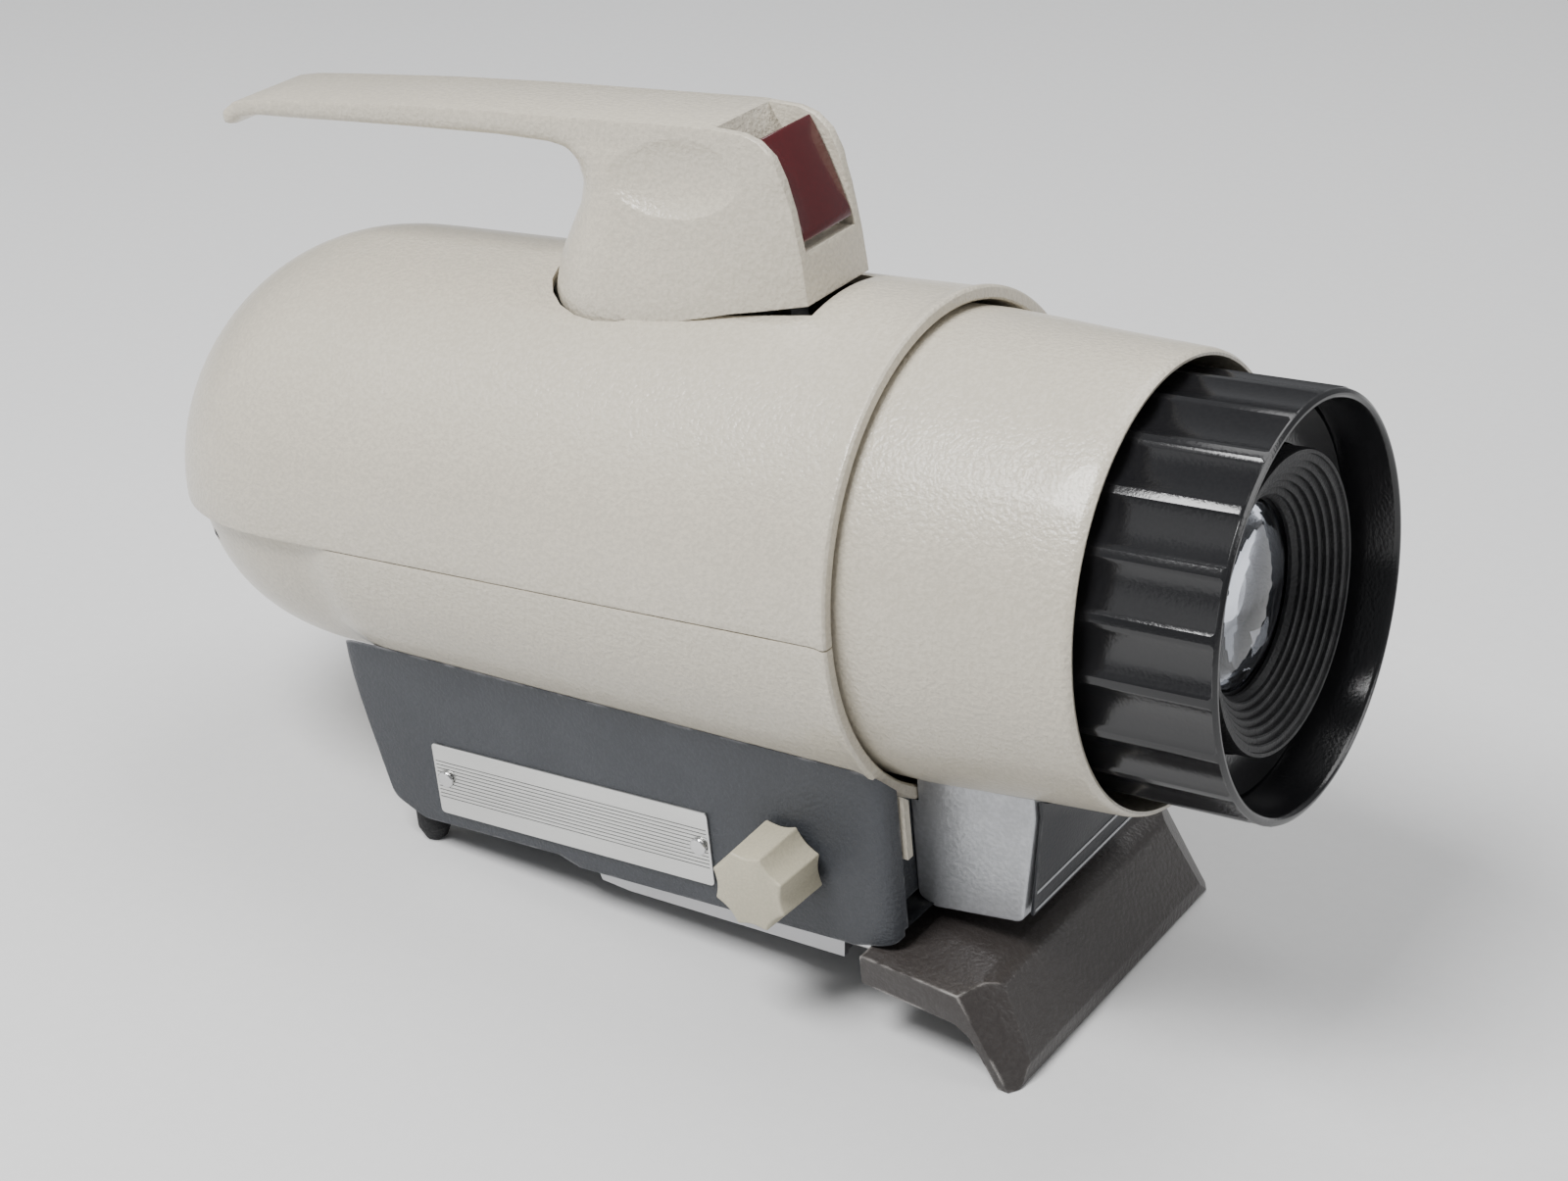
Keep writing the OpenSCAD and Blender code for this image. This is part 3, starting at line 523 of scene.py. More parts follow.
def brushed(name, color, roughness, depth=0.12, metallic=1.0):
    return shader(name, brushed_group(), {
        "Color": (*color, 1), "Dull Color": tint(color, 0.78), "Roughness": roughness,
        "Scratch Depth": depth}, Metallic=metallic)


def steel():
    return brushed("Brushed steel", (0.55, 0.55, 0.56), 0.28)


def bright_metal():
    return brushed("Bright plating", (0.75, 0.75, 0.75), 0.08, 0.03)


def cast_alloy():
    return brushed("Cast alloy", (0.5, 0.51, 0.52), 0.42, 0.3)


def brass():
    return brushed("Brass", (0.68, 0.5, 0.22), 0.26)


def mirror_metal():
    return brushed("Silvered mirror", (0.9, 0.9, 0.9), 0.03, 0.01)


def dark_steel():
    return brushed("Blackened steel", (0.06, 0.06, 0.065), 0.45, 0.2, 0.6)


def badge_enamel():
    return shader("Badge enamel", coat_group(), {
        "Color": (0.007, 0.008, 0.011, 1), "Mottle Color": (0.011, 0.012, 0.016, 1),
        "Worn Color": (0.3, 0.3, 0.3, 1), "Mottle Scale": 80.0, "Grain Scale": 1300.0,
        "Grain Depth": 0.12, "Roughness": 0.28, "Roughness Spread": 0.12, "Wear": 0.3,
        "Edge Width": 0.0004})


def ceramic():
    return shader("Socket ceramic", coat_group(), {
        "Color": (0.72, 0.69, 0.62, 1), "Mottle Color": (0.62, 0.58, 0.5, 1),
        "Worn Color": (0.5, 0.46, 0.4, 1), "Mottle Scale": 70.0, "Grain Scale": 800.0,
        "Grain Depth": 0.2, "Roughness": 0.5, "Roughness Spread": 0.1, "Wear": 0.2, "Edge Width": 0.0006})


def glass(name, color, rough):
    """Clear glass with a faint uneven polish."""
    old = bpy.data.materials.get(name)
    if old:
        return old
    material = bpy.data.materials.new(name)
    material.use_nodes = True
    tree = material.node_tree
    main = tree.nodes["Principled BSDF"]
    main.inputs["Transmission Weight"].default_value = 1.0
    main.inputs["IOR"].default_value = 1.52
    coord = add(tree, "ShaderNodeTexCoord")
    haze = add(tree, "ShaderNodeTexNoise", Scale=120.0, Detail=3.0)
    tree.links.new(coord.outputs["Object"], haze.inputs["Vector"])
    polish = add(tree, "ShaderNodeMapRange")
    polish.inputs["To Min"].default_value = rough
    polish.inputs["To Max"].default_value = rough + 0.05
    tree.links.new(haze.outputs["Fac"], polish.inputs["Value"])
    tree.links.new(polish.outputs["Result"], main.inputs["Roughness"])
    ramp = add(tree, "ShaderNodeMix", data_type="RGBA")
    ramp.inputs[6].default_value = (*color, 1)
    ramp.inputs[7].default_value = tint(color, 0.94)
    tree.links.new(haze.outputs["Fac"], ramp.inputs["Factor"])
    tree.links.new(ramp.outputs[2], main.inputs["Base Color"])
    return material


def lens_glass():
    return glass("Coated lens glass", (0.86, 0.9, 1.0), 0.0)


def heat_glass():
    return glass("Heat glass", (0.75, 0.95, 0.85), 0.02)


def plate_metal():
    """Bright plate with a band of fine engraved lines along its length."""
    old = bpy.data.materials.get("Engraved plate")
    if old:
        return old
    material = brushed("Engraved plate", (0.8, 0.8, 0.78), 0.24, 0.08)
    tree = material.node_tree
    main = tree.nodes["Principled BSDF"]
    group = [n for n in tree.nodes if n.type == "GROUP"][0]
    lines = tree.nodes.new("ShaderNodeAttribute")
    lines.attribute_name = "engraved"
    mix = add(tree, "ShaderNodeMix", data_type="RGBA")
    mix.inputs[7].default_value = (0.1, 0.1, 0.1, 1)
    tree.links.new(lines.outputs["Fac"], mix.inputs["Factor"])
    tree.links.new(group.outputs["Color"], mix.inputs[6])
    tree.links.new(mix.outputs[2], main.inputs["Base Color"])
    return material


SLOT_FINISH = {
    "cream_enamel": cream_enamel, "base_enamel": base_enamel, "silver_enamel": silver_enamel,
    "foot_enamel": foot_enamel, "knob_plastic": knob_plastic, "red_plastic": red_plastic,
    "black_gloss": black_gloss, "black_matte": black_matte, "badge": badge_enamel, "plate": plate_metal,
    "steel": steel, "dark_steel": dark_steel, "brass": brass, "bright": bright_metal,
    "cast_alloy": cast_alloy, "rubber": rubber, "optical_glass": lens_glass, "heat_glass": heat_glass,
    "ceramic": ceramic, "mirror": mirror_metal,
}


def look():
    return bpy.context.scene.projector_look


class ProjectorLook(bpy.types.PropertyGroup):
    """Sizes and colours of the projector."""
    enamel_color: FloatVectorProperty(
        name="Enamel", description="Colour of the cream shells and handle", subtype="COLOR",
        default=(0.6, 0.55, 0.45), min=0, max=1)
    base_color: FloatVectorProperty(
        name="Base", description="Colour of the grey base", subtype="COLOR",
        default=(0.05, 0.054, 0.062), min=0, max=1)
    pillar_color: FloatVectorProperty(
        name="Pillar", description="Colour of the silver pillar", subtype="COLOR",
        default=(0.55, 0.56, 0.58), min=0, max=1)
    lever_color: FloatVectorProperty(
        name="Lever", description="Colour of the latch lever", subtype="COLOR",
        default=(0.075, 0.004, 0.006), min=0, max=1)
    knob_color: FloatVectorProperty(
        name="Knobs", description="Colour of the side knobs", subtype="COLOR",
        default=(0.52, 0.48, 0.36), min=0, max=1)
    floor_color: FloatVectorProperty(
        name="Floor", description="Colour of the floor", subtype="COLOR",
        default=(0.72, 0.72, 0.72), min=0, max=1)
    peel: FloatProperty(
        name="Orange peel", description="Depth of the dimples in the cream enamel", default=0.42,
        min=0, max=1)
    edge: FloatProperty(
        name="Edge rounding", description="Rounding of the cast edges", default=0.0008, min=0.0001,
        max=0.003, unit="LENGTH")
    flutes: IntProperty(
        name="Ring flutes", description="Finger flutes round the focus ring", default=22, min=8, max=40)
    knob_flutes: IntProperty(
        name="Knob flutes", description="Flutes round each side knob", default=8, min=5, max=16)


class ProjectorOperator(bpy.types.Operator):
    """What every step of the build shares."""
    bl_options = {"REGISTER", "UNDO"}

    def execute(self, context):
        self.build()
        return {"FINISHED"}


# ---- the shells ----

def barrel_radius(x):
    """Outer radius of the upper shell between the dome and the rim."""
    return DOME_R + FRONT_GROWTH * (x - DOME_X) / (RIM_X - DOME_X)


def tuck(x):
    """How far the lower shell lies inside the upper one's outline."""
    t = min(1.0, max(0.0, (-84 - x) / 16))
    return 2.9 * t * t * (3 - 2 * t)


def barrel_profile(inset):
    """The outline from the dome's tip to the front rim."""
    steps = 34
    points = []
    for i in range(steps, -1, -1):
        s = math.sin(math.radians(90 * i / steps))
        x = DOME_X - s * (DOME_LEN - inset(DOME_X - 40))
        full = DOME_R * math.sqrt(max(0.0, 1 - s ** DOME_POWER))
        points.append((x, max(0.0, full - inset(x) * (full / DOME_R) ** 0.5)))
    for x in (-96, -92, -88, -84, -78, -60, -30, 0, 30, 44):
        points.append((x, barrel_radius(x) - inset(x)))
    return points


def droop(o):
    """Lets the rear dome hang a little below the lens axis."""
    for v in o.data.vertices:
        back = min(0.0, v.co.x / MM - (DOME_X + 6))
        v.co.z -= DOME_DROP * (back / (DOME_LEN + 6)) ** 2 * MM


def shell_body(name, inset, wall):
    """A hollow barrel with a rolled front rim."""
    outer = barrel_profile(inset)
    outer += [(46.2, 54.35), (47.3, 54.8), (48.2, 54.75), (RIM_X, 54.2), (RIM_X, 52.2), (48.2, 51.7),
              (46, 51.6)]
    tip = DOME_X - (DOME_LEN - inset(DOME_X - 40)) + wall
    inner = [(max(x, tip + 0.02 * i), max(0.0, r - wall))
             for i, (x, r) in enumerate(barrel_profile(inset))]
    outline = outer + [(40, 51.5)] + list(reversed(inner[:-1]))
    o = lathe(name, outline, 160, closed=False)
    droop(o)
    return o


def split_at_seam(o, keep_top, gap=0.15):
    """Keeps one side of the sloping seam and closes the cut."""
    alone(o)
    bpy.ops.object.mode_set(mode="EDIT")
    bpy.ops.mesh.select_all(action="SELECT")
    level = (SEAM_H + (gap if keep_top else -gap)) * MM
    normal = Vector((-SEAM_SLOPE, 0, 1)).normalized()
    bpy.ops.mesh.bisect(plane_co=(0, 0, level), plane_no=normal, use_fill=False,
                        clear_inner=keep_top, clear_outer=not keep_top)
    bpy.ops.mesh.select_all(action="DESELECT")
    bpy.ops.mesh.select_non_manifold()
    bpy.ops.mesh.fill()
    bpy.ops.object.mode_set(mode="OBJECT")
    return clean(o)


def seat_outline(grow):
    """Plan of the handle's foot: round behind, narrow in front."""
    points = []
    radius = 21 + grow
    for i in range(17):
        a = math.radians(62 + 236 * i / 16)
        points.append((-26 + radius * math.cos(a) * 1.03, radius * math.sin(a)))
    points.append((22.3 + grow, -11.3 - grow))
    points.append((22.3 + grow, 11.3 + grow))
    return points


class PROJECTOR_OT_shells(ProjectorOperator):
    """Upper and lower shells of the barrel"""
    bl_idname = "projector.shells"
    bl_label = "Shells"

    def build(self):
        upper = shell_body("lid_shell", lambda x: 0.0, 2.4)
        split_at_seam(upper, True)
        combine(upper, prism("seat_cut", seat_outline(0.9), 118, 150, along="Z"))
        combine(upper, block("carrier_cut", 27.7, 35.6, 30, 62, 66, 101.3))
        lower = shell_body("body_shell", tuck, 2.2)
        split_at_seam(lower, False)
        combine(lower, block("carrier_cut", 27.7, 31.8, 30, 62, 49.8, 90))
        for side in (-1, 1):
            combine(lower, peg("pin_cut", HINGE_X, HINGE_Z, side * 45 - 14, side * 45 + 14, 1.55, 24))
        for o in (upper, lower):
            soften(o, 0.35, 2, 40)
        arms = hinge_arms()
        pins = join([peg("hinge_pin", HINGE_X, HINGE_Z, side * 34.8 - 4.4, side * 34.8 + 4.4, 1.45, 32)
                     for side in (-1, 1)], "hinge_pin_bars")
        soften(pins, 0.25, 2, 40)
        finish_piece(pins, "base", dark_steel(), ["hinge_pins"])
        finish_piece(upper, "lid", cream_enamel(), ["upper_shell"])
        finish_piece(lower, "base", cream_enamel(), ["lower_shell"])
        finish_piece(arms, "lid", cream_enamel())


def hinge_arms():
    """The two arms inside that carry the lid on its pins."""
    outline = rounded([(-137.1, 65.6), (-138.3, 62), (-136, 59.3), (-132.1, 60.4), (-117, 76.8),
                       (-117, 80.5), (-120.5, 80.5)], 1.2)
    arm = prism("hinge_arm", outline, 30.4, 33)
    web = block("hinge_web", -121, -117, 30.4, 46.6, 76.8, 80.5)
    combine(arm, web, "UNION")
    twin = mirrored(arm)
    return join([arm, twin], "hinge_arms")


# ---- handle and latch ----

def post_ring(z, back, half, front):
    """One level of the handle's post."""
    points = []
    middle = back + half * 1.05
    for i in range(15):
        a = math.radians(90 + 180 * i / 14)
        points.append((middle + half * 1.05 * math.cos(a), half * math.sin(a), z))
    front_half = 11.3
    for t in (0.25, 0.5, 0.75):
        y = -(half + (front_half - half) * t * t)
        points.append((middle + (front - middle) * t, y, z))
    points += [(front - 0.6, -front_half, z), (front, -front_half + 1.2, z), (front, 0, z),
               (front, front_half - 1.2, z), (front - 0.6, front_half, z)]
    for t in (0.75, 0.5, 0.25):
        y = half + (front_half - half) * t * t
        points.append((middle + (front - middle) * t, y, z))
    return points


def grip_ring(x, low, high):
    """One section across the grip."""
    half = 12.1
    outline = rounded([(-half, low, 3.2), (half, low, 3.2), (half - 0.7, high, 1.9),
                       (-half + 0.7, high, 1.9)], 2, 4)
    return [(x, y, z) for y, z in outline]


POST = [(119, -48, 21, 24.6), (127, -47.6, 20.7, 24), (133, -46, 19.0, 23.6), (139, -42.8, 17.0, 23),
        (145, -39.4, 15.5, 22.4), (150, -38.2, 14.3, 21.4), (154.5, -39.6, 13.2, 21.4),
        (158.5, -44, 12.3, 20.5)]
GRIP = [(-137.6, 154.3, 157.8), (-135.6, 153.9, 160.1), (-132.4, 155.9, 161.3), (-127, 156.9, 162.2),
        (-114, 157.2, 163), (-84, 158.0, 164.6), (-56, 158.4, 165.5), (-42, 158.0, 165.8),
        (-20, 154, 166.2), (0, 152, 166.5), (9.4, 152, 166), (12.8, 152, 165.6), (15.6, 152, 164.6),
        (19, 152, 162.4)]


def thumb_dish(side):
    """A long shallow hollow for the thumb on the side of the post."""
    object_mode()
    bpy.ops.object.select_all(action="DESELECT")
    bpy.ops.mesh.primitive_uv_sphere_add(segments=96, ring_count=48, radius=1,
                                         location=(-6 * MM, side * 18.3 * MM, 157 * MM))
    bpy.ops.transform.resize(value=(27 * MM, 7.4 * MM, 12.5 * MM))
    bpy.ops.object.transform_apply(location=True, rotation=True, scale=True)
    return bpy.context.object


class PROJECTOR_OT_handle(ProjectorOperator):
    """Carrying handle, cast in one with its post"""
    bl_idname = "projector.handle"
    bl_label = "Handle"

    def build(self):
        handle = loft("carrying_handle", [post_ring(*row) for row in POST])
        combine(handle, loft("grip", [grip_ring(*row) for row in GRIP]), "UNION")
        modify(handle, "REMESH", mode="VOXEL", voxel_size=0.7 * MM)
        modify(handle, "SMOOTH", factor=0.5, iterations=8)
        for side in (-1, 1):
            combine(handle, thumb_dish(side))
        # crisp front and top faces
        front = [(23.6, 110), (22.3, 127), (21.4, 139), (20.0, 149), (18.4, 155.5), (16.4, 160.2),
                 (13.2, 163.1), (9.4, 164.5), (0, 165.2), (-56, 164.2), (-84, 163.3), (-114, 161.7),
                 (-127, 160.9), (-133, 160),
                 (-137.4, 157.2), (-160, 157.2), (-160, 185), (60, 185), (60, 110)]
        combine(handle, prism("trim", front, -30, 30))
        # the front of the post stands clear of the shell
        gap = [(-6, 118), (30, 118), (30, 129.9), (22, 129.5), (6, 127.6), (-6, 125.4)]
        combine(handle, prism("front_gap", gap, -30, 30))
        core = lathe("shell_core", [(-104, 0), (-104, 50.6), (46, 52.8), (46, 0)], 160, closed=False)
        combine(handle, clean(core))
        slot = [(1.5, 168), (2, 165), (9.3, 151), (11.2, 140.2), (22.8, 140.2), (24, 168)]
        channel = prism("channel", slot, -9.45, 9.45)
        combine(handle, channel)
        soften(handle, 0.22, 2, 50)
        finish_piece(handle, "lid", cream_enamel(), ["handle"], 40)


class PROJECTOR_OT_lever(ProjectorOperator):
    """Red latch lever let into the front of the handle"""
    bl_idname = "projector.lever"
    bl_label = "Latch lever"

    def build(self):
        lean = math.radians(21.7)
        side = [(2.2, 0), (2.45, 6), (2.5, 12), (2.2, 18), (1.9, 20.6), (0.5, 20.5), (0.2, 19), (-0.2, 2),
                (-2.0, 0.8), (-2.2, -0.8), (-1.4, -1.9), (0, -2.3), (1.8, -2.1)]
        turned = [(18.4 + x * math.cos(lean) - z * math.sin(lean),
                   143.6 + x * math.sin(lean) + z * math.cos(lean))
                  for x, z in side]
        lever = prism("red_lever", turned, -9.06, 9.06)
        soften(lever, 0.35, 3, 35)
        finish_piece(lever, "latch", red_plastic(), ["latch_lever"])


# ---- base ----

def base_outline():
    return [(-98.4, 46), (-88.6, 4.2, 5), (-80, 0, 8), (-40, 0, 2), (-34, -2, 2), (40, -2, 2),
            (50.9, 0.4, 2.5), (50.9, 46)]


def base_solid(name, inset):
    side = rounded(base_outline(), 0, 6)
    body = prism(name, side, -42 + inset, 42 - inset)
    plan = rounded([(-99, -42, 6), (50.9 - inset, -42, 5), (50.9 - inset, 42, 5), (-99, 42, 6)], 5, 8)
    return combine(body, prism("plan", plan, -20, 60, along="Z"), "INTERSECT")


class PROJECTOR_OT_base(ProjectorOperator):
    """Grey base casting under the barrel"""
    bl_idname = "projector.base"
    bl_label = "Base"

    def build(self):
        base = base_solid("base_casting", 0)
        soften(base, look().edge / MM * 1.1, 3, 30)
        space = [(-150, 0), (-150, 52.4), (-86, 52.5), (45, 54.2), (60, 54.8), (60, 0)]
        combine(base, lathe("barrel_space", space, 160, closed=False))
        combine(base, block("hollow", -86, 48.4, -39.4, 39.4, 5, 60))
        combine(base, block("front_way", 44, 56, -37.3, 37.3, 2.7, 60))
        combine(base, block("arm_well", -38.6, 60, -38.6, 38.6, -5, 2.7))
        combine(base, block("plate_recess", -77.5, -38.5, -36, 36, -5, 2))
        combine(base, block("inlet_hole", -110, -80, 17, 38, 10.4, 25.6))
        for i in range(5):
            y = -30 + 7.5 * i
            combine(base, block("vent", -110, -80, y, y + 3.6, 16, 32))
        combine(base, block("cam_slot", 10.5, 40, -38.2, -26.4, 1, 8))
        for y0, radius in ((-60, 3.05), (30, 3.55)):
            combine(base, peg("knob_hole", KNOB_X, KNOB_Z, y0, y0 + 30, radius, 32))
        for x in RIVET_XS:
            combine(base, peg("rivet_hole", x, RIVET_Z, -44, -40, 0.82, 16))
        finish_piece(base, "base", base_enamel(), ["base_housing"])


class PROJECTOR_OT_nameplate(ProjectorOperator):
    """Bright plate with engraved lines, and its two rivets"""
    bl_idname = "projector.nameplate"
    bl_label = "Nameplate"

    def build(self):
        outline = rounded([(-73.6, 3.5), (4.4, 3.5), (4.4, 21.8), (-73.6, 21.8)], 1.2, 4)
        plate = prism("name_plate", outline, -42.68, -42.02)
        soften(plate, 0.16, 2, 40)
        lines = []
        for i in range(11):
            z = 7.9 + i * 0.94
            lines.append(block("line", -73, 3.8, -42.8, -42.56, z, z + 0.22))
        for line in lines:
            combine(plate, line)
        engraved = plate.data.attributes.new("engraved", "FLOAT", "FACE")
        for face in plate.data.polygons:
            sunk = -42.62 < face.center.y / MM < -42.5 and face.normal.y < -0.9
            engraved.data[face.index].value = 1.0 if sunk else 0.0
        finish_piece(plate, "base", plate_metal(), ["nameplate"])
        heads = []
        for x in RIVET_XS:
            turns = [math.tau * i / 24 for i in range(24)]
            dome = [(x + 2.1 * math.cos(a), RIVET_Z + 2.1 * math.sin(a)) for a in turns]
            head = prism("rivet_head", dome, -43.7, -42.7)
            modify(head, "BEVEL", width=0.9 * MM, segments=6, limit_method="ANGLE",
                   angle_limit=math.radians(40))
            heads.append(head)
            heads.append(peg("rivet_shank", x, RIVET_Z, -42.9, -40.9, 0.78, 16))
        rivets = join(heads, "plate_rivets")
        finish_piece(rivets, "base", bright_metal(), ["nameplate_rivets"])


class PROJECTOR_OT_pillar(ProjectorOperator):
    """Silver pillar under the lens, with its black plate"""
    bl_idname = "projector.pillar"
    bl_label = "Pillar"

    def build(self):
        outline = rounded([(46.9, 40), (46.9, 3.6, 2.5), (51, 1.6, 2.5), (72.6, 3.4, 2.4), (77.2, 29.4, 3),
                           (77, 41), (51.4, 41)], 0, 6)
        pillar = prism("silver_pillar", outline, -26.7, 26.7)
        soften(pillar, 0.6, 3, 40)
        cutter = [(30, 0), (30, 54.85), (49.1, 54.85), (49.1, 50.45), (52, 50.45), (94, 48.05), (105, 0)]
        combine(pillar, lathe("lens_space", cutter, 160, closed=False))
        finish_piece(pillar, "base", silver_enamel(), ["pillar"])
        outline = [(73.9, 5.2), (74.8, 5.1), (78.6, 29.4), (78.3, 38), (77.3, 38), (77.7, 29.6)]
        face = prism("black_face", outline, -25.7, 25.7)
        soften(face, 0.3, 2, 40)
        space = [(70, 0), (70, 50), (76, 49.4), (94, 48.4), (94, 0)]
        combine(face, lathe("lens_space", space, 160, closed=False))
        finish_piece(face, "base", badge_enamel(), ["pillar_plate"])
        bands = []
        for z in (6.0, 10.6):
            x = 74.8 + (z - 5.1) * 3.8 / 24.3
            bands.append(prism("band", [(x - 0.3, z), (x + 0.12, z), (x + 0.23, z + 0.7), (x - 0.2, z + 0.7)],
                               -25.2, 25.2))
        stripes = join(bands, "pillar_stripes")
        finish_piece(stripes, "base", silver_enamel())


# ---- lens ----

class PROJECTOR_OT_lens(ProjectorOperator):
    """Lens tube, focus ring and the stepped hood"""
    bl_idname = "projector.lens"
    bl_label = "Lens"

    def build(self):
        outline = [(40, 50.4), (52, 50.4), (62, 49.9), (77, 48.95), (90, 48.35), (97.5, 48.0),
                   (98.9, 47.7), (99.6, 47.1), (99.5, 46.5), (98.8, 46.2), (92, 46.4), (40, 48.6)]
        tube = lathe("lens_tube_shell", outline, 192)
        finish_piece(tube, "base", cream_enamel(), ["lens_tube"])
        self.ring()
        hood = [(112.75, 31.1), (121.2, 31.1), (121.9, 30.8), (121.9, 30.1)]
        for k in range(6):
            x = 121.3 - k * 1.1
            r = 30 - k * 1.5
            hood += [(x, r), (x, r - 1.2), (x - 0.25, r - 1.5), (x - 1.1, r - 1.5)]
        hood += [(114.2, 20.6), (113.6, 20.2), (112.75, 20.2)]
        baffle = lathe("stepped_hood", hood, 128)
        finish_piece(baffle, "lens_cell", black_matte(), ["ribbed_baffle"])
        outline = rounded([(113.5, 31.3), (116, 31.3), (116, 40.7), (113.5, 40.7)], 0.3, 3)
        face = lathe("lens_face_ring", outline, 128)
        finish_piece(face, "lens_cell", black_gloss(), ["name_ring"])

    def ring(self):
        count = look().flutes
        outline = [(84, 38.6), (84, 43.5), (84.4, 43.9), (126.4, 43.9), (127.3, 43.5), (127.8, 42.7),
                   (127.8, 42.2), (127.5, 41.8), (126.8, 41.5), (113.2, 41.2), (113.2, 38.6)]
        ring = lathe("finger_ring", outline, 264)
        depth = 1.35
        half = 43.9 * math.sin(math.pi / count)
        radius = (half * half + depth * depth) / (2 * depth)
        tools = []
        for i in range(count):
            a = math.tau * (i + 0.5) / count
            reach = 43.9 - depth + radius
            tools.append((reach * math.cos(a), reach * math.sin(a)))
        cutter = flute_cutter(tools, radius, 83, 127.0)
        combine(ring, cutter)
        soften(ring, 0.3, 2, 24)
        finish_piece(ring, "focus_ring_body", black_gloss(), ["focus_ring"], 28)


def flute_cutter(centres, radius, x0, x1):
    """Round bars along the lens axis that cut the finger flutes."""
    bars = []
    for y, z in centres:
        object_mode()
        bpy.ops.object.select_all(action="DESELECT")
        bpy.ops.mesh.primitive_cylinder_add(
            vertices=96, radius=radius * MM, depth=(x1 - x0) * MM, rotation=(0, math.pi / 2, 0),
            location=((x0 + x1) / 2 * MM, y * MM, (AXIS_H + z) * MM))
        bars.append(bpy.context.object)
    joined = join(bars, "flute_bars")
    bpy.ops.object.transform_apply(location=True, rotation=True, scale=True)
    return joined


# ---- knobs ----

def knob(name, side):
    """A fluted knob on the side of the base. side is -1 or 1."""
    count = look().knob_flutes
    x, z = KNOB_X, KNOB_Z
    outline = []
    steps = 12
    for i in range(count):
        for k in range(steps):
            t = k / steps
            a = math.tau * (i + t) / count + math.pi / count
            r = 10.0 - 1.6 * math.sin(math.pi * t) ** 0.75
            outline.append((x + r * math.cos(a), z + r * math.sin(a)))
    body = prism(name, outline, side * 43.6, side * 58.0)
    alone(body)
    for v in body.data.vertices:
        back = (58 - abs(v.co.y) / MM) / 14.4
        spread = 0.955 + 0.045 * back
        v.co.x = (x + (v.co.x / MM - x) * spread) * MM
        v.co.z = (z + (v.co.z / MM - z) * spread) * MM
    soften(body, 0.55, 3, 50)
    combine(body, peg("bore", x, z, side * 43, side * 53, 3.0 if side < 0 else 2.5, 32))
    return body


class PROJECTOR_OT_knobs(ProjectorOperator):
    """Elevation knob, and the switch knob on the far side"""
    bl_idname = "projector.knobs"
    bl_label = "Knobs"

    def build(self):
        near = knob("tilt_knob", -1)
        finish_piece(near, "elevation", knob_plastic(), ["elevation_knob"])
        far = knob("switch_knob_cap", 1)
        finish_piece(far, "switch", knob_plastic(), ["switch_knob"])


# ---- front foot ----

def table_z(x):
    """Height of the table top in the projector's own frame."""
    return -(LIFT + x * math.sin(NOSE_UP)) / math.cos(NOSE_UP)


class PROJECTOR_OT_foot(ProjectorOperator):
    """Folded front foot that the projector stands on"""
    bl_idname = "projector.foot"
    bl_label = "Front foot"

    def build(self):
        outline = rounded([(43.6, -1.4), (69.2, -3.6, 3), (73.2, -5.4, 3.5), (80.0, -21.6, 1.5),
                           (79.7, table_z(79.7), 0.5), (75.6, table_z(75.6), 0.5), (69.6, -14.4, 4),
                           (66, -12.0, 4), (43.6, -8.2)], 0.5, 5)
        foot = prism("folded_foot", outline, -46, 46)
        for side in (-1, 1):
            shave(foot, (47.1, side * 39, -0.35), (0.149, side * 0.206, 0.967))
            shave(foot, (73, side * 36, -4.3), (0.782, side * 0.472, 0.4075))
        soften(foot, 0.45, 3, 14)
        for side in (-1, 1):
            combine(foot, rod_hole(side))
        finish_piece(foot, "arm", foot_enamel(), ["front_foot"])


def shave(o, point, normal):
    """Cuts away what lies beyond a plane and closes the cut."""
    alone(o)
    bpy.ops.object.mode_set(mode="EDIT")
    bpy.ops.mesh.select_all(action="SELECT")
    bpy.ops.mesh.bisect(plane_co=Vector(point) * MM, plane_no=Vector(normal), use_fill=True, clear_outer=True)
    bpy.ops.object.mode_set(mode="OBJECT")
    clean(o)


def rod_hole(side):
    object_mode()
    bpy.ops.object.select_all(action="DESELECT")
    bpy.ops.mesh.primitive_cylinder_add(vertices=24, radius=1.22 * MM, depth=20 * MM,
                                        rotation=(0, math.pi / 2, 0),
                                        location=(38.5 * MM, side * 36.2 * MM, -5.2 * MM))
    bpy.ops.object.transform_apply(location=True, rotation=True, scale=True)
    return bpy.context.object


# ---- carried-over pieces and stage ----

class PROJECTOR_OT_finishes(ProjectorOperator):
    """Gives every other CAD piece its finish"""
    bl_idname = "projector.finishes"
    bl_label = "Finishes"

    def build(self):
        slots = {row["node"]: row["material_slot"] for row in frame["record"]["subparts"]}
        for node, o in frame["nodes"].items():
            material = SLOT_FINISH[slots[node]]()
            o.data.materials.clear()
            o.data.materials.append(material)


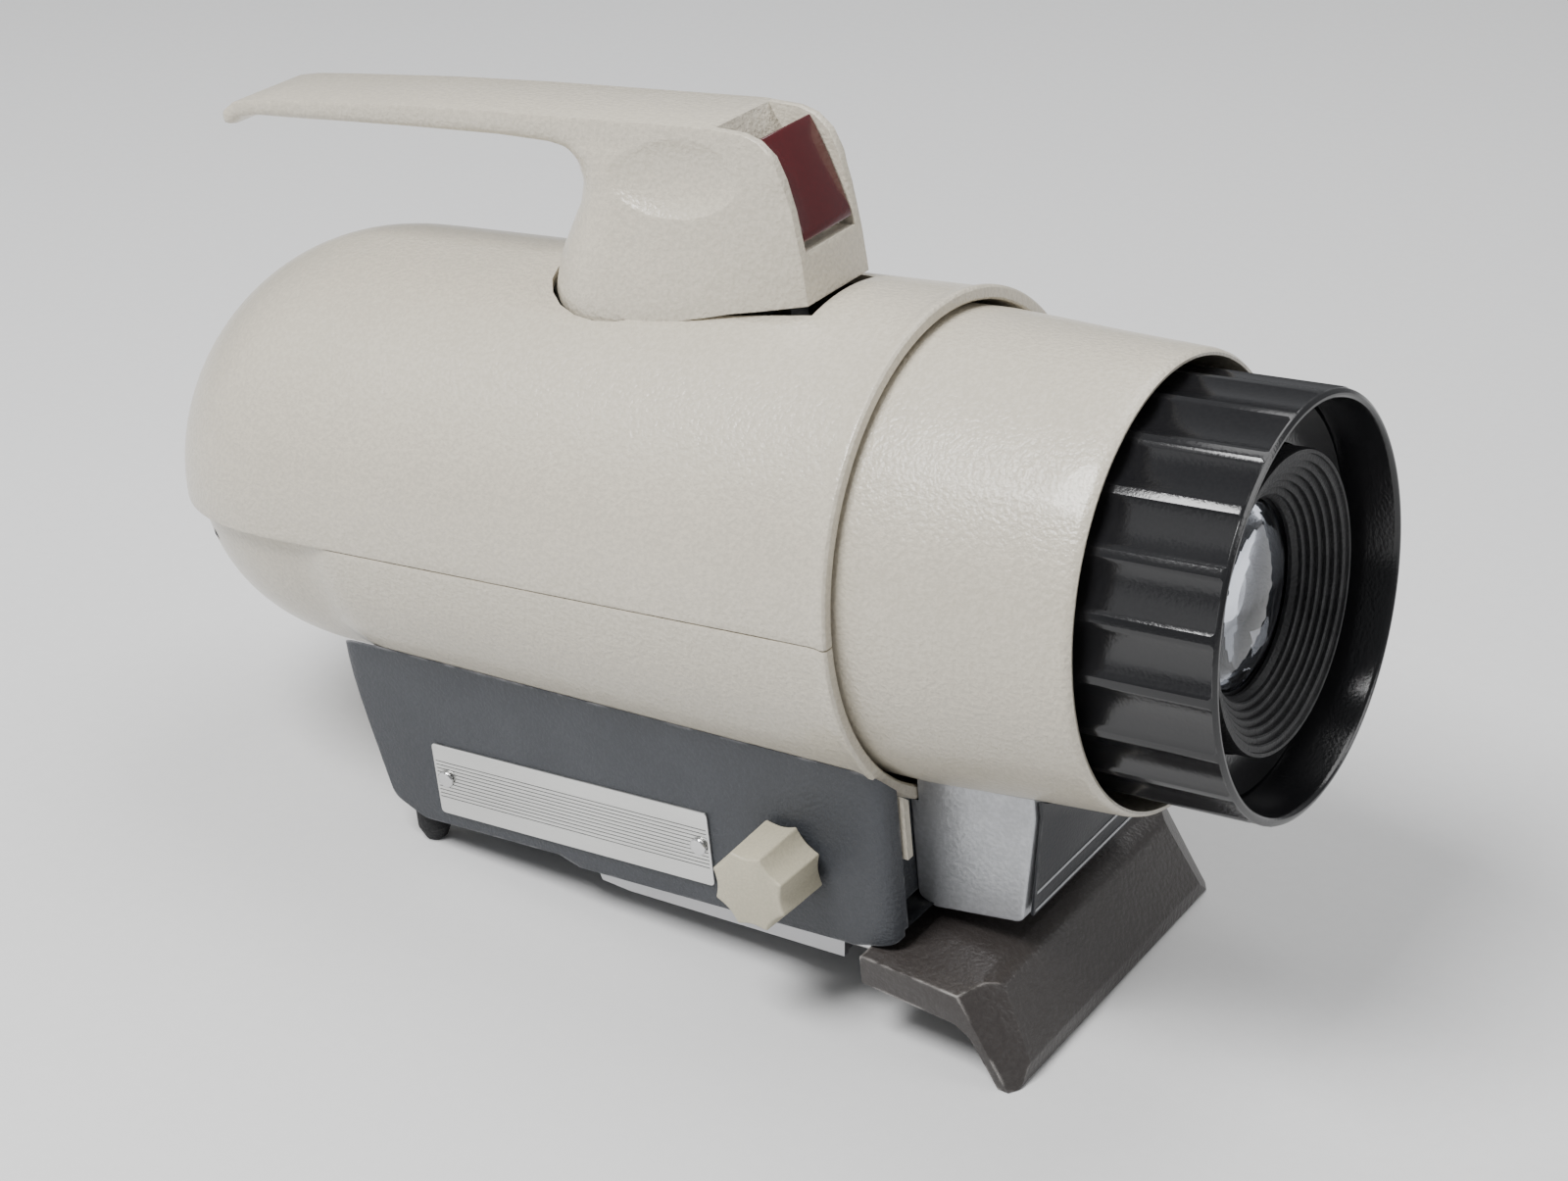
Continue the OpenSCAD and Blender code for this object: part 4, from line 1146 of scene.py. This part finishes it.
class PROJECTOR_OT_stage(ProjectorOperator):
    """Floor, soft studio light and camera"""
    bl_idname = "projector.stage"
    bl_label = "Stage"

    def build(self):
        object_mode()
        bpy.ops.object.select_all(action="DESELECT")
        bpy.ops.mesh.primitive_plane_add(size=8, location=(0, 0, -0.0002))
        floor = bpy.context.object
        floor.name = "floor"
        floor.data.materials.append(shader("Pale floor", coat_group(), {
            "Color": (*look().floor_color, 1), "Mottle Color": tint(look().floor_color, 0.97),
            "Mottle Scale": 3.0, "Grain Scale": 300.0, "Grain Depth": 0.02, "Roughness": 0.6,
            "Roughness Spread": 0.05, "Wear": 0.0}))
        area("key", (-0.2, -0.6, 1.15), 0.5, 24)
        area("fill", (-1.1, -0.5, 0.5), 1.0, 2)
        area("front", (1.0, 0.35, 0.6), 0.5, 3)
        area("top", (0.1, 0.5, 1.2), 0.8, 8)
        world = bpy.data.worlds.new("Studio")
        bpy.context.scene.world = world
        world.use_nodes = True
        background = world.node_tree.nodes["Background"]
        background.inputs["Color"].default_value = (0.95, 0.97, 1.0, 1)
        background.inputs["Strength"].default_value = 0.33
        place = Vector((304.25 + SHIFT, -466.65, 382.56)) * MM
        aim = Vector((-0.4845, 0.7283, -0.4847))
        object_mode()
        bpy.ops.object.select_all(action="DESELECT")
        bpy.ops.object.camera_add(location=place, rotation=aim.to_track_quat("-Z", "Y").to_euler())
        camera = bpy.context.object
        camera.name = "main_camera"
        camera.data.lens = 66.1
        camera.data.sensor_width = 36
        camera.data.sensor_fit = "HORIZONTAL"
        camera.data.clip_start = 0.01
        bpy.context.scene.camera = camera


def area(name, place, size, power):
    """A soft light that faces the projector."""
    object_mode()
    bpy.ops.object.select_all(action="DESELECT")
    aim = Vector((0, 0, 0.08)) - Vector(place)
    bpy.ops.object.light_add(type="AREA", location=place, rotation=aim.to_track_quat("-Z", "Y").to_euler())
    lamp = bpy.context.object
    lamp.name = name
    lamp.data.size = size
    lamp.data.energy = power
    return lamp


STEPS = (PROJECTOR_OT_shells, PROJECTOR_OT_handle, PROJECTOR_OT_lever, PROJECTOR_OT_base,
         PROJECTOR_OT_nameplate, PROJECTOR_OT_pillar, PROJECTOR_OT_lens, PROJECTOR_OT_knobs,
         PROJECTOR_OT_foot, PROJECTOR_OT_stage)


class PROJECTOR_PT_panel(bpy.types.Panel):
    """Lists the steps and their settings"""
    bl_idname = "PROJECTOR_PT_panel"
    bl_label = "Slide projector"
    bl_space_type = "VIEW_3D"
    bl_region_type = "UI"
    bl_category = "Projector"

    def draw(self, context):
        settings = context.scene.projector_look
        for name in settings.bl_rna.properties.keys():
            if name not in {"rna_type", "name"}:
                self.layout.prop(settings, name)
        self.layout.operator(PROJECTOR_OT_finishes.bl_idname)
        for step in STEPS:
            self.layout.operator(step.bl_idname)


CLASSES = (ProjectorLook, PROJECTOR_OT_finishes, *STEPS, PROJECTOR_PT_panel)


def register():
    for item in CLASSES:
        bpy.utils.register_class(item)
    bpy.types.Scene.projector_look = PointerProperty(type=ProjectorLook)


def unregister():
    del bpy.types.Scene.projector_look
    for item in reversed(CLASSES):
        bpy.utils.unregister_class(item)


def main():
    register()
    bpy.ops.projector.finishes()
    for step in STEPS:
        family, name = step.bl_idname.split(".")
        getattr(getattr(bpy.ops, family), name)()
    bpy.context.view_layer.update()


if __name__ == "__main__":
    main()
